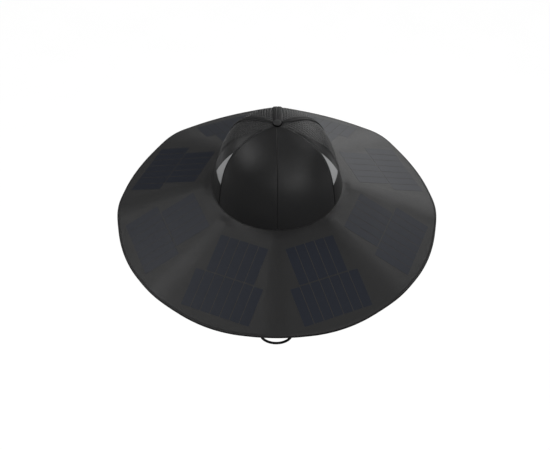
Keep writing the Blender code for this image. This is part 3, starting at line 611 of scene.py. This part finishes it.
nc, nr = ring_points.shape[:2]
i, k = np.arange(nc)[:, None], np.arange(nr)
here, beside, following = i * nr, (i + 1) % nc * nr, (k + 1) % nr
tape_faces = np.stack([here + following, beside + following, beside + k, here + k], -1)
piece("rim_tape", ring_points, tape_faces.reshape(-1, 4), binding_look,
      replaces=["edge_binding"], uv=ring_uv)


def brim_normal(az, radius):
    a = brim_point(az + 0.05, radius, 0.0) - brim_point(az - 0.05, radius, 0.0)
    b = brim_point(az, radius + 0.0005, 0.0) - brim_point(az, radius - 0.0005, 0.0)
    n = np.cross(b, a)
    n *= np.sign(n[..., 2:3])
    return unit(n)


rim_seams = Seams()
loop = np.append(fold_cols, 360.0)
stitch_line = brim_edge(loop) - 0.0015
for facing, lift in ((1.0, 0.00034), (-1.0, -0.00230)):
    row = brim_point(loop, stitch_line, 0.0)
    row[:, 2] += lift
    rim_seams.add(row, facing * brim_normal(loop, stitch_line), 0.00022)
rim_seams.build("rim_stitching")


def facet_point(azimuth, x, y, z):
    """A place on a facet: x across it, y down it from the apex, z off its face."""
    out = direction(azimuth)
    across = np.array([-out[1], out[0], 0.0])
    down = out * math.cos(SLOPE) - np.array([0.0, 0.0, math.sin(SLOPE)])
    normal = out * math.sin(SLOPE) + np.array([0.0, 0.0, math.cos(SLOPE)])
    x, y, z = np.broadcast_arrays(x, y, z)
    return (np.array([0.0, 0.0, APEX_Z]) + x[..., None] * across + y[..., None] * down
            + z[..., None] * normal)


def strip(x0, x1, y0, y1):
    """One cell pane as rings of points (x, y, height): rounded corners and a soft edge."""
    rings = []
    for inset, height in ((0.0, 0.00001), (0.0, 0.00009), (0.00004, 0.00012), (0.00010, 0.00013)):
        ring = []
        radius = 0.0007 - inset * 0.5
        for cx, cy, turn in ((x1, y1, 0), (x0, y1, 90), (x0, y0, 180), (x1, y0, 270)):
            sx = -1.0 if cx == x1 else 1.0
            sy = -1.0 if cy == y1 else 1.0
            for k in range(4):
                a = (turn + 30.0 * k) * DEG
                ring.append((cx + sx * (inset + radius) + radius * math.cos(a),
                             cy + sy * (inset + radius) + radius * math.sin(a), height))
        rings.append(ring)
    return np.array(rings)


def cell_strips(number, azimuth):
    """The strips of both blocks of one facet."""
    points, coords, faces = [], [], []
    for count, start in CELL_BLOCKS:
        for k in range(count):
            x0 = (k - count / 2.0) * PITCH + CELL_GAP
            rings = strip(x0, x0 + PITCH - 2.0 * CELL_GAP, start, start + CELL_LENGTH)
            layers, sides = rings.shape[:2]
            faces += tube_faces(layers, sides, len(points) * layers * sides)
            points.append(facet_point(azimuth, rings[..., 0], rings[..., 1], rings[..., 2])
                          .reshape(-1, 3))
            coords.append((rings[..., :2] - (x0, start)).reshape(-1, 2))
    piece(f"cell_strips_{number}", np.concatenate(points), faces, solar,
          replaces=[f"cells_inner_{number}", f"cells_outer_{number}"], uv=np.concatenate(coords),
          smooth=False)


def cell_film(number, azimuth):
    """The film under both blocks, which shows in the gaps between the strips."""
    points, coords, faces = [], [], []
    for count, start in CELL_BLOCKS:
        half = count / 2.0 * PITCH - 0.0002
        x = np.array([-half, half, half, -half] * 2)
        y = np.array([start, start, start + CELL_LENGTH, start + CELL_LENGTH] * 2)
        z = np.array([-0.00020] * 4 + [0.00005] * 4)
        faces += tube_faces(2, 4, 8 * len(points))
        points.append(facet_point(azimuth, x, y, z))
        coords.append(np.stack([x, y], -1))
    piece(f"cell_film_{number}", np.concatenate(points), faces, film,
          uv=np.concatenate(coords), smooth=False)


for number in range(1, 9):
    cell_strips(number, 45.0 * number - 22.5)
    cell_film(number, 45.0 * number - 22.5)

# Sewn outlines on the underside, one pocket per facet.
pocket = Seams()
lean = math.tan(17.6 * DEG) * math.cos(SLOPE)
for number in range(8):
    azimuth = 22.5 + 45.0 * number
    outline = [(0.1265 * lean, 0.1265), (0.2060 * lean, 0.2060), (0.0600, 0.2500), (-0.0600, 0.2500),
               (-0.2060 * lean, 0.2060), (-0.1265 * lean, 0.1265), (0.1265 * lean, 0.1265)]
    for (xa, ya), (xb, yb) in zip(outline, outline[1:]):
        t = np.linspace(0.0, 1.0, 40)
        x, y = xa + (xb - xa) * t, ya + (yb - ya) * t
        path = facet_point(azimuth, x, y, 0.0)
        radius = np.linalg.norm(path[:, :2], axis=1)
        az = np.degrees(np.arctan2(path[:, 0], -path[:, 1]))
        path[:, 2] = brim_z(radius, az) - (FAR + 0.00052) / math.cos(SLOPE)
        pocket.add(path, -brim_normal(az, radius), 0.00030, 0.0030, 0.0015)
pocket.build("under_brim_stitching")


# ------------------------ crown

def meridian(az, s):
    """Radius and height of the plain crown, s = 0 at its foot and 1 at its top."""
    c = np.cos(az * DEG)
    rise = (4.66 + 0.061 * c) * PITCH
    lean = 0.215 - 0.219 * c
    wide = (5.473 - 0.195 * c) * PITCH
    q = 1.0 - s
    b1, b2, b3 = 3 * q * q * s, 3 * q * s * s, s ** 3
    radius = (q ** 3 + b1) * CROWN_RADIUS - b1 * rise * np.sin(lean) + b2 * wide
    height = b1 * rise * np.cos(lean) + (b2 + b3) * CROWN_HEIGHT
    return radius, height


def bisect(test, shape):
    """The s in 0..1 up to which test holds."""
    low, high = np.zeros(shape), np.ones(shape)
    for _ in range(36):
        mid = (low + high) / 2.0
        short = test(mid)
        low, high = np.where(short, mid, low), np.where(short, high, mid)
    return (low + high) / 2.0


def s_at_height(az, height):
    az, height = np.broadcast_arrays(np.asarray(az, float), np.asarray(height, float))
    return bisect(lambda s: meridian(az, s)[1] < height, az.shape)


def s_at_radius(az, radius):
    az, radius = np.broadcast_arrays(np.asarray(az, float), np.asarray(radius, float))
    return bisect(lambda s: (meridian(az, s)[0] > radius) | (s < 0.5), az.shape)


def surface(az, s):
    r, z = meridian(az, s)
    p = direction(az) * r[..., None]
    p[..., 2] = z
    return p


def crown_normal(az, s):
    up = surface(az, np.minimum(s + 0.001, 1.0)) - surface(az, np.maximum(s - 0.001, 0.0))
    along = surface(az + 0.1, s) - surface(az - 0.1, s)
    n = unit(np.cross(along, up))
    flip = np.sign(np.sum(n * (direction(az) + np.array([0.0, 0.0, 1.0])), -1, keepdims=True))
    return n * flip


def crown_point(az, s, lift):
    """A place off the plain crown; near the foot the lift goes level, so the foot stays flat."""
    az, s, lift = np.broadcast_arrays(np.asarray(az, float), np.asarray(s, float),
                                      np.asarray(lift, float))
    n = crown_normal(az, s)
    t = smooth(s / 0.14)[..., None]
    aim = direction(az) * (1.0 - t) + n * t
    square = np.maximum(np.sum(aim * n, -1), 0.5)
    return surface(az, s) + aim * (lift / square)[..., None]


def dent(az, z, at_az, at_z, wide_az, wide_z):
    return np.exp(-((az - at_az) / wide_az) ** 2 - ((z - at_z) / wide_z) ** 2)


def swell(az, z):
    """Soft shape of the two front panels, in metres off the plain crown."""
    return (0.0016 * dent(az, z, 26.0, 0.060, 22.0, 0.026)
            + 0.0011 * dent(az, z, -30.0, 0.078, 20.0, 0.022)
            - 0.0012 * dent(az, z, -14.0, 0.048, 16.0, 0.022)
            - 0.0010 * dent(az, z, 16.0, 0.100, 18.0, 0.012)
            - 0.0008 * dent(az, z, 50.0, 0.070, 12.0, 0.030))


# Lower border of the mesh on each side, as (azimuth, height).
MESH_LINE = {
    1.0: [(60, 0.1143), (62, 0.1134), (65, 0.1110), (68, 0.1052), (70.5, 0.1002), (73, 0.0950),
          (74.5, 0.0905), (76, 0.0850), (77, 0.0790), (78, 0.0720), (79, 0.0660), (80, 0.0610),
          (82, 0.0540), (84, 0.0490), (88, 0.0425), (93, 0.0370), (100, 0.0322), (109, 0.0292),
          (119, BAND_TOP)],
    -1.0: [(60, 0.1148), (66, 0.1142), (70, 0.1135), (73, 0.1124), (75, 0.1102), (77, 0.1050),
           (79, 0.0980), (81, 0.0890), (84, 0.0740), (88, 0.0590), (93, 0.0470), (100, 0.0375),
           (109, 0.0312), (119, BAND_TOP)]}
line_az = np.linspace(CROWN_SEAM, BACK_SEAM, 1200)


def soft_line(table):
    """The border's heights at line_az, with its corners rounded."""
    z = np.interp(line_az, *zip(*table))
    z = np.concatenate([np.full(30, z[0]), z, np.full(30, z[-1])])
    kernel = np.hanning(61)
    return np.convolve(z, kernel / kernel.sum(), "valid")


line_z = {side: soft_line(table) for side, table in MESH_LINE.items()}


def mesh_line(az, side):
    return np.interp(az, line_az, line_z[side])


def edge_dip(distance, depth, wide):
    """How far cloth is pulled in at a seam."""
    return -depth * np.exp(-(np.abs(distance) / wide) ** 2)


def gore(az_low, az_high, columns, low_s, high_s, rows, lift, ease=0.6):
    """Outer and inner grids of one sewn panel. lift(az, z, r) is added to the plain crown."""
    u = np.linspace(0.0, 1.0, columns)
    u = u - ease * np.sin(2 * math.pi * u) / (2 * math.pi)
    az = az_low + (az_high - az_low) * u
    s0, s1 = low_s(az), high_s(az)
    t = np.linspace(0.0, 1.0, rows)
    S = s0[:, None] + (s1 - s0)[:, None] * t[None, :]
    AZ = np.tile(az[:, None], (1, rows))
    r, z = meridian(AZ, S)
    up = lift(AZ, z, r)
    outer = crown_point(AZ, S, up)
    inner = crown_point(AZ, S, up - PANEL_THICK)
    middle = (az_low + az_high) / 2.0
    return outer, inner, np.stack([r * (AZ - middle) * DEG, S * LENGTH_UV], -1)


def base_s(az):
    return s_at_height(az, 0.0004)


def top_s(az):
    return s_at_radius(az, 0.0034)


def metres(a, b, r):
    """Way between two azimuths at a radius."""
    return np.abs(a - b) * DEG * r


def crown_row(az, z, lift):
    """A row of places at height z, and the crown's normals there."""
    az = np.asarray(az, float)
    s = s_at_height(az, np.asarray(z, float))
    return crown_point(az, s, lift), crown_normal(az, s)


def front_lift(az, z, r):
    from_front = metres(az, 0.0, r)
    from_side = metres(np.abs(az), CROWN_SEAM, r)
    fade = smooth(from_front / 0.010) * smooth(from_side / 0.012)
    return (swell(az, z) * (0.25 + 0.75 * fade) + edge_dip(from_front, 0.0008, 0.0006)
            + edge_dip(from_side, 0.0009, 0.0013))


crown_seams = Seams()
for word, side in SIDES:
    def side_lift(az, z, r, side=side):
        a = np.abs(az)
        seam = edge_dip(metres(a, CROWN_SEAM, r), 0.0009, 0.0013)
        return seam + 0.00035 * smooth((z - mesh_line(a, side) + 0.0030) / 0.0012)

    def line_s(az, side=side):
        return s_at_height(az, mesh_line(np.abs(az), side) - 0.0003)

    sheet(f"front_cloth_{word}", *gore(0.0, CROWN_SEAM * side, 90, base_s, top_s, 110, front_lift),
          crown_look, "crown_cloth", [f"front_panel_{word}"], flip=side < 0)
    sheet(f"side_cloth_{word}", *gore(CROWN_SEAM * side, BACK_SEAM * side, 240, base_s, line_s, 60,
                                      side_lift, 0.5),
          side_look, "crown_cloth", [f"side_panel_{word}"], flip=side < 0)

    # Top stitching along the front seam, on both of its sides.
    zs = np.concatenate([np.linspace(0.002, 0.108, 60), np.linspace(0.109, 0.1152, 16)])
    r = meridian(CROWN_SEAM, s_at_height(CROWN_SEAM, zs))[0]
    for offset in (-0.0024, 0.0024):
        az = CROWN_SEAM + np.degrees(offset / np.maximum(r, 0.004))
        crown_seams.add(*crown_row(side * az, zs, -0.00002), 0.00026)
    # Two rows of stitching under the mesh line.
    az = np.linspace(61.5, 118.0, 400)
    path, normal = crown_row(side * az, mesh_line(az, side), 0.0003)
    downward = np.cross(unit(np.gradient(path, axis=0)), normal)
    downward *= -np.sign(downward[:, 2:3])
    keep = np.linalg.norm(path[:, :2], axis=1) > 0.012
    for inset in (0.0016, 0.0040):
        crown_seams.add((path + downward * inset)[keep], normal[keep], 0.00026)


# ------------------------ honeycomb mesh

def honeycomb(name, az_low, az_high, low_z, side, replaced):
    """Knitted mesh with six-sided holes, running a little way under its borders."""
    pitch = 0.0044
    strand = 0.00100
    middle = (az_low + az_high) / 2.0
    s_table = np.linspace(0.0, 0.9875, 900)
    r_table, z_table = meridian(middle, s_table)
    y_table = run_along(np.stack([r_table, z_table], 1))

    def to_crown(x, y):
        s = np.interp(y, y_table, s_table)
        r = np.interp(y, y_table, r_table)
        return middle + np.degrees(x / r), s

    row_step = pitch * 0.8660254
    rows, cols = np.meshgrid(np.arange(0, int(y_table[-1] / row_step) + 1),
                             np.arange(-26, 27), indexing="ij")
    cx = (cols + 0.5 * (rows % 2)).ravel() * pitch
    cy = rows.ravel() * row_step
    az, s = to_crown(cx, cy)
    r, z = meridian(az, s)
    margin = np.degrees(0.0026 / np.maximum(r, 0.004))
    inside = ((az > az_low - margin) & (az < az_high + margin)
              & (z > low_z(np.clip(az, az_low, az_high)) - 0.0030) & (r > 0.0050))
    cx, cy = cx[inside], cy[inside]
    angle = (30.0 + 60.0 * np.arange(6)) * DEG
    big = pitch / math.sqrt(3.0)
    small = big - strand / math.cos(30.0 * DEG)
    points, coords = [], []
    for radius, lift in ((big, 0.0), (small + 0.0001, -0.00006), (small, -0.00040), (big, -0.00052)):
        x = cx[:, None] + radius * np.cos(angle)
        y = cy[:, None] + radius * np.sin(angle)
        y = np.clip(y, 0.0, y_table[-1])
        az, s = to_crown(x, y)
        points.append(crown_point(side * az, s, lift - 0.00045))
        coords.append(np.stack([x, y], -1))
    points = np.stack(points, 1)
    coords = np.stack(coords, 1)
    k = np.arange(6)[None, :]
    m = (k + 1) % 6
    faces = []
    for ring in range(3):
        base = np.arange(len(cx))[:, None] * 24 + 6 * ring
        q = np.stack([base + k, base + m, base + 6 + m, base + 6 + k], -1).reshape(-1, 4)
        faces.append(q if side > 0 else q[:, ::-1])
    faces = np.concatenate(faces)
    # The closed backing layer of the knit.
    AZ = np.tile(np.linspace(az_low - 1.2, az_high + 1.2, 60)[:, None], (1, 40))
    bottom = s_at_height(AZ[:, 0], low_z(np.clip(AZ[:, 0], az_low, az_high)) - 0.0030)
    crest = s_at_radius(AZ[:, 0], 0.0060)
    S = bottom[:, None] + (crest - bottom)[:, None] * np.linspace(0.0, 1.0, 40)
    sheet(name + "_backing", crown_point(side * AZ, S, -0.00092),
          crown_point(side * AZ, S, -0.00112), np.stack([AZ * DEG * CROWN_UV, S * LENGTH_UV], -1),
          back_look, "mesh_cloth", flip=side < 0)
    # Neighbouring cells share their outer corners.
    flat = points.reshape(-1, 3)
    key = np.round(flat / 0.00004).astype(np.int64)
    _, first, back = np.unique(key, axis=0, return_index=True, return_inverse=True)
    piece(name, flat[first], back.ravel()[faces], mesh_look,
          replaces=[replaced], uv=coords.reshape(-1, 2)[first])


for word, side in SIDES:
    honeycomb(f"side_net_{word}", CROWN_SEAM, BACK_SEAM, lambda az: mesh_line(az, side), side,
              f"side_mesh_{word}")
    honeycomb(f"back_net_{word}", BACK_SEAM, 180.0, lambda az: BAND_TOP, side,
              f"back_mesh_{word}")


def band_lift(az, z, r):
    return 0.0003 * smooth((z - BAND_TOP + 0.0030) / 0.0012)


sheet("back_cloth", *gore(BACK_SEAM, 360.0 - BACK_SEAM, 180, base_s,
                          lambda az: s_at_height(az, BAND_TOP), 30, band_lift, 0.0),
      crown_look, "crown_cloth", ["back_band"])
for inset in (0.0016, 0.0040):
    az = np.linspace(120.0, 240.0, 240)
    crown_seams.add(*crown_row(az, BAND_TOP - inset, 0.0003), 0.00026)


# ------------------------ tapes, wedges, button

def seam_tape(word, azimuth, width, narrow=0.022):
    """A tape over a seam: it falls to its edges, has a groove down the middle and is sewn down
    on both sides. Within the radius narrow it gets narrower."""
    across = np.array([-1.0, -0.97, -0.90, -0.75, -0.5, -0.25, -0.16, -0.10, -0.05, 0.0,
                       0.05, 0.10, 0.16, 0.25, 0.5, 0.75, 0.90, 0.97, 1.0])
    start = float(base_s(azimuth))
    end = float(s_at_radius(azimuth, 0.0072))
    s = np.linspace(start, end, 150)
    r = meridian(azimuth, s)[0]
    half = width / 2.0 * np.clip(r / narrow, 0.30, 1.0)
    U, S = np.meshgrid(across, s, indexing="ij")
    AZ = azimuth + U * np.degrees(half / r)[None, :]
    edge = (0.00110 - 0.00055 * np.abs(U)) * (1.0 - np.abs(U) ** 14)
    groove = 0.00055 * np.exp(-(U / 0.10) ** 2)
    outer = crown_point(AZ, S, 0.00005 + edge - groove)
    inner = crown_point(AZ, S, -0.0002)
    sheet(f"tape_{word}", outer, inner, np.stack([U * width / 2.0, S * LENGTH_UV], -1),
          tape_look, "tape_cloth", [f"seam_tape_{word}"])
    for share in (-0.72, 0.72):
        az = azimuth + share * np.degrees(half / r)
        rows = crown_point(az, s, 0.00074)
        keep = r > 0.014
        crown_seams.add(rows[keep], crown_normal(az, s)[keep], 0.00024)


seam_tape("left", -BACK_SEAM, 0.009)
seam_tape("right", BACK_SEAM, 0.009)
seam_tape("back", 180.0, 0.0135, 0.010)

# Upper and lower edge of the reflective wedges, as (azimuth, height).
WEDGE_TOP = [(60.6, 0.0915), (62, 0.0885), (64, 0.0830), (66, 0.0770), (68.5, 0.0690),
             (71, 0.0610), (74, 0.0520), (76.6, 0.0450)]
WEDGE_LOW = [(60.6, 0.0390), (65, 0.0404), (69, 0.0418), (76.6, 0.0442)]
for word, side in SIDES:
    az = np.linspace(60.9, 76.6, 60)
    high = np.interp(az, *zip(*WEDGE_TOP))
    low = np.interp(az, *zip(*WEDGE_LOW))
    t = np.linspace(0.0, 1.0, 40)
    AZ = np.tile(az[:, None], (1, 40))
    Z = low[:, None] + (high - low)[:, None] * t
    S = s_at_height(AZ, Z)
    rim_u = np.minimum(np.minimum(t, 1.0 - t)[None, :] * (high - low)[:, None],
                       ((az - az[0]) * DEG * CROWN_UV)[:, None])
    outer = crown_point(side * AZ, S, 0.00015 + 0.00040 * smooth(rim_u / 0.0008))
    sheet(f"wedge_{word}", outer, crown_point(side * AZ, S, -0.0001),
          np.stack([AZ * DEG * CROWN_UV, Z], -1), reflective, "reflective_cloth",
          [f"reflector_{word}"], flip=side < 0)

crown_seams.build("crown_stitching")


def turned(name, profile, look, replaces=()):
    """A profile of (radius, height above the crown's top) turned about the hat's axis."""
    sides = 64
    a = np.arange(sides) * 2 * math.pi / sides
    flat = np.concatenate([np.stack([r * np.cos(a), r * np.sin(a)], 1) for r, z in profile])
    heights = np.repeat([CROWN_HEIGHT + z for r, z in profile], sides)
    piece(name, np.column_stack([flat, heights]), tube_faces(len(profile), sides), look,
          replaces=replaces, uv=flat)


turned("crown_button", [
    (0.0015, -0.0036), (0.0015, 0.0003), (0.0043, 0.0006), (0.0053, 0.0010), (0.0058, 0.0017),
    (0.00600, 0.0022), (0.00598, 0.0026), (0.0057, 0.0029), (0.0052, 0.0031), (0.0045, 0.0032),
    (0.0033, 0.0033), (0.0017, 0.0034), (0.0005, 0.0034)], button_look, ["top_button"])
# A near-black felt ring under the button's rim: painted shadow, showing as a dark crescent below the
# cap.
turned("button_shadow_felt", [(0.0016, 0.00005), (0.0067, 0.00005), (0.0069, 0.00020), (0.0067, 0.00035),
                       (0.0016, 0.00045)], shadow_felt_look)

# ------------------------ sweatband

band_az = np.linspace(0.0, 360.0, 240, endpoint=False)
band_z = np.array([0.0004, 0.003, 0.008, 0.014, 0.020, 0.0255, 0.0285, 0.0298])
B_AZ, B_Z = np.meshgrid(band_az, band_z, indexing="ij")
B_S = s_at_height(B_AZ, B_Z)
puff = 0.0004 * np.sin(np.clip((B_Z - 0.0004) / 0.0290, 0, 1) * math.pi)
gather = 0.00012 * np.sin(B_AZ * DEG * 96.0) * smooth((B_Z - 0.020) / 0.008)
edge = 0.0005 * (smooth((B_Z - 0.0285) / 0.0013) + smooth((0.0014 - B_Z) / 0.001))
sweat = sheet("sweat_band", crown_point(B_AZ, B_S, -0.0019),
              crown_point(B_AZ, B_S, -0.0029 - puff - gather + edge),
              np.stack([B_AZ * DEG * HEAD_RADIUS, B_Z], -1), band_look, "lining_cloth",
              ["sweatband"], True)
band_rows = Seams()
loop = np.linspace(0.0, 360.0, 361)
for z in (0.0268, 0.0036):
    row, normal = crown_row(loop, z, -0.0031)
    band_rows.add(row, -normal, 0.00028, 0.0026, 0.0014)
band_rows.build("sweat_band_stitching")

# ------------------------ CAD pieces that show as they are

plain_nodes = {
    plastic: ["controller_base", "controller_lid", "cord_anchor_left", "cord_anchor_right",
              "cord_lock_body"],
    rubber: ["port_cover", "cord_lock_button"],
    steel: ["usb_a_socket", "usb_c_socket", "lid_screw_1", "lid_screw_2", "cord_lock_spring",
            "button_rivet"],
    board: ["controller_board", *(f"module_board_{k}" for k in range(1, 9))],
    copper: ["bus_ring"],
    lamp: ["status_light"]}
for look, names in plain_nodes.items():
    for name in names:
        mesh = nodes[name].data
        mesh.materials.clear()
        mesh.materials.append(look.mat)

# ------------------------ chin cord

axis_z = next(j for j in frame["joints"] if j["name"] == "chin_cord_swing")["pos_m"][2]
strand_x = 0.0019  # of each strand where the two run side by side
neck_reach = 0.0245  # they do so this far above and below the middle of the lock
lock_low, lock_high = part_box("cord_lock_body")
lock_z = (lock_low[2] + lock_high[2]) / 2.0
neck_top, neck_low = lock_z + neck_reach, lock_z - neck_reach
bottom_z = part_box("chin_cord")[0][2] + CORD_RADIUS
widest_z = bottom_z + CORD_LOOP_RADIUS
ROUND = 0.5523  # handle of a bezier quarter circle


def bezier(p0, p1, p2, p3, count):
    t = np.linspace(0.0, 1.0, count)[:, None]
    q = 1.0 - t
    return (q ** 3 * np.array(p0) + 3 * q * q * t * np.array(p1) + 3 * q * t * t * np.array(p2)
            + t ** 3 * np.array(p3))


# One half of the cord as (x, z): out of the anchor, down to the lock, and round the loop.
half = np.concatenate([
    [(CORD_X, axis_z + 0.0014), (CORD_X, axis_z), (CORD_X, axis_z - 0.0025)],
    bezier((CORD_X, axis_z - 0.0052), (CORD_X + 0.001, axis_z - 0.100),
           (strand_x + 0.0002, neck_top + 0.055), (strand_x, neck_top), 90),
    np.stack([np.full(14, strand_x), np.linspace(neck_top, neck_low, 16)[1:-1]], 1),
    bezier((strand_x, neck_low), (strand_x + 0.0005, neck_low - 0.014),
           (CORD_LOOP_RADIUS, widest_z + 0.020), (CORD_LOOP_RADIUS, widest_z), 30),
    bezier((CORD_LOOP_RADIUS, widest_z), (CORD_LOOP_RADIUS, widest_z - ROUND * CORD_LOOP_RADIUS),
           (ROUND * CORD_LOOP_RADIUS, bottom_z), (0.0, bottom_z), 30)[1:]])
line = np.concatenate([half * np.array([-1.0, 1.0]), half[-2::-1]])
line = np.stack([line[:, 0], np.full(len(line), CORD_Y), line[:, 1]], 1)
run = run_along(line)
cord_length = float(run[-1])
tangent = unit(np.gradient(line, axis=0))
side = np.tile(np.array([0.0, 1.0, 0.0]), (len(line), 1))
up = np.cross(side, tangent)
sides = 14
a = np.arange(sides) * 2 * math.pi / sides
# The soft braid is pinched where the lock and the anchors hold it.
held = np.maximum(smooth((0.012 - run) / 0.008), smooth((0.012 - (cord_length - run)) / 0.008))
held = np.maximum(held, smooth((lock_high[2] - lock_low[2] - 2.0 * np.abs(line[:, 2] - lock_z)
                                + 0.040) / 0.012))
wide = CORD_RADIUS + (CORD_FREE_RADIUS - CORD_RADIUS) * (1.0 - held)
wide[[0, -1]] = 0.0006
tube = (line[:, None, :] + wide[:, None, None] * (np.cos(a)[None, :, None] * side[:, None, :]
                                                 + np.sin(a)[None, :, None] * up[:, None, :]))
tube_uv = np.stack(np.broadcast_arrays((a * 0.00140)[None, :], run[:, None]), -1)
cord = piece("neck_cord", tube.reshape(-1, 3), tube_faces(len(line), sides), braid,
             "chin_cord", ["chin_cord"], tube_uv.reshape(-1, 2))
# A pin through each end of the cord.
pin_points, pin_faces = [], []
for sign in (-1.0, 1.0):
    pin_faces += tube_faces(4, 12, 12 * len(pin_points))
    t = np.arange(12) * math.pi / 6.0
    for reach, radius in ((-0.0033, 0.0006), (-0.0032, 0.0008), (0.0032, 0.0008), (0.0033, 0.0006)):
        pin_points.append(np.stack([np.full(12, sign * CORD_X + reach),
                                    CORD_Y + radius * np.cos(t), axis_z + radius * np.sin(t)], 1))
piece("cord_end_pins", np.concatenate(pin_points), pin_faces, plastic, "chin_cord")

# ------------------------ floor and light

FLOOR_Z = -1.5
# The floor glows evenly where the photo's view sees it, and less further out.
floor_look = Look("floor", (0.05, 0.05, 0.05), 0.9)
spread = floor_look.node("ShaderNodeVectorMath", {0: floor_look.place(), 1: (0.0, 1.4, FLOOR_Z)}, 1,
                         operation="DISTANCE")
grain = floor_look.noise(floor_look.place(), 6.0)
pale = floor_look.node("ShaderNodeMapRange", {"Value": spread, "From Min": 2.05, "From Max": 3.3,
                                              "To Min": 0.97, "To Max": 0.22},
                       interpolation_type="SMOOTHSTEP")
floor_look.set("Emission Color", (1.0, 1.0, 1.0, 1.0))
floor_look.set("Emission Strength", floor_look.math("ADD", pale, floor_look.math(
    "MULTIPLY", grain, 0.02)))
floor_mesh = bpy.data.meshes.new("floor")
floor_mesh.from_pydata([(x, y, FLOOR_Z) for x, y in ((-30, -30), (30, -30), (30, 30), (-30, 30))],
                       [], [(0, 1, 2, 3)])
floor_mesh.materials.append(floor_look.mat)
floor = show("floor", floor_mesh)

world = bpy.data.worlds.new("studio")
world.use_nodes = True
world.node_tree.nodes["Background"].inputs[0].default_value = (1.0, 1.0, 1.0, 1.0)
world.node_tree.nodes["Background"].inputs[1].default_value = 0.02
bpy.context.scene.world = world


def softbox(name, azimuth, height, size, radiance):
    """A soft lamp seen from the hat at an azimuth (0 is the front) and a height angle."""
    distance = 2.6
    level = math.cos(height * DEG) * distance
    at = Vector((level * math.sin(azimuth * DEG), -level * math.cos(azimuth * DEG),
                 distance * math.sin(height * DEG)))
    data = bpy.data.lights.new(name, "AREA")
    data.shape = "RECTANGLE"
    data.size, data.size_y = size
    data.energy = radiance * math.pi * size[0] * size[1]
    obj = show(name, data)
    obj.location = at
    obj.rotation_euler = (Vector((0.0, 0.0, 0.02)) - at).to_track_quat("-Z", "Y").to_euler()
    obj.visible_camera = False


softbox("right_back_low", 140, 25, (1.3, 1.0), 4.45)
softbox("back_horizon", 165, 6, (1.2, 0.8), 2.7)
softbox("right_back_mid", 120, 46, (1.5, 1.3), 0.7)
softbox("left_mid", -90, 46, (1.5, 1.3), 4.6)
softbox("left_back_mid", -120, 46, (1.5, 1.3), 1.25)
softbox("right_high", 60, 72, (1.0, 1.0), 0.5)
softbox("right_front", 45, 45, (1.5, 1.3), 2.3)
softbox("right_front_low", 45, 15, (1.3, 1.0), 3.0)
softbox("front_key", 22, 24, (0.7, 0.7), 5.0)
softbox("front_low", 0, 15, (1.3, 1.0), 1.15)
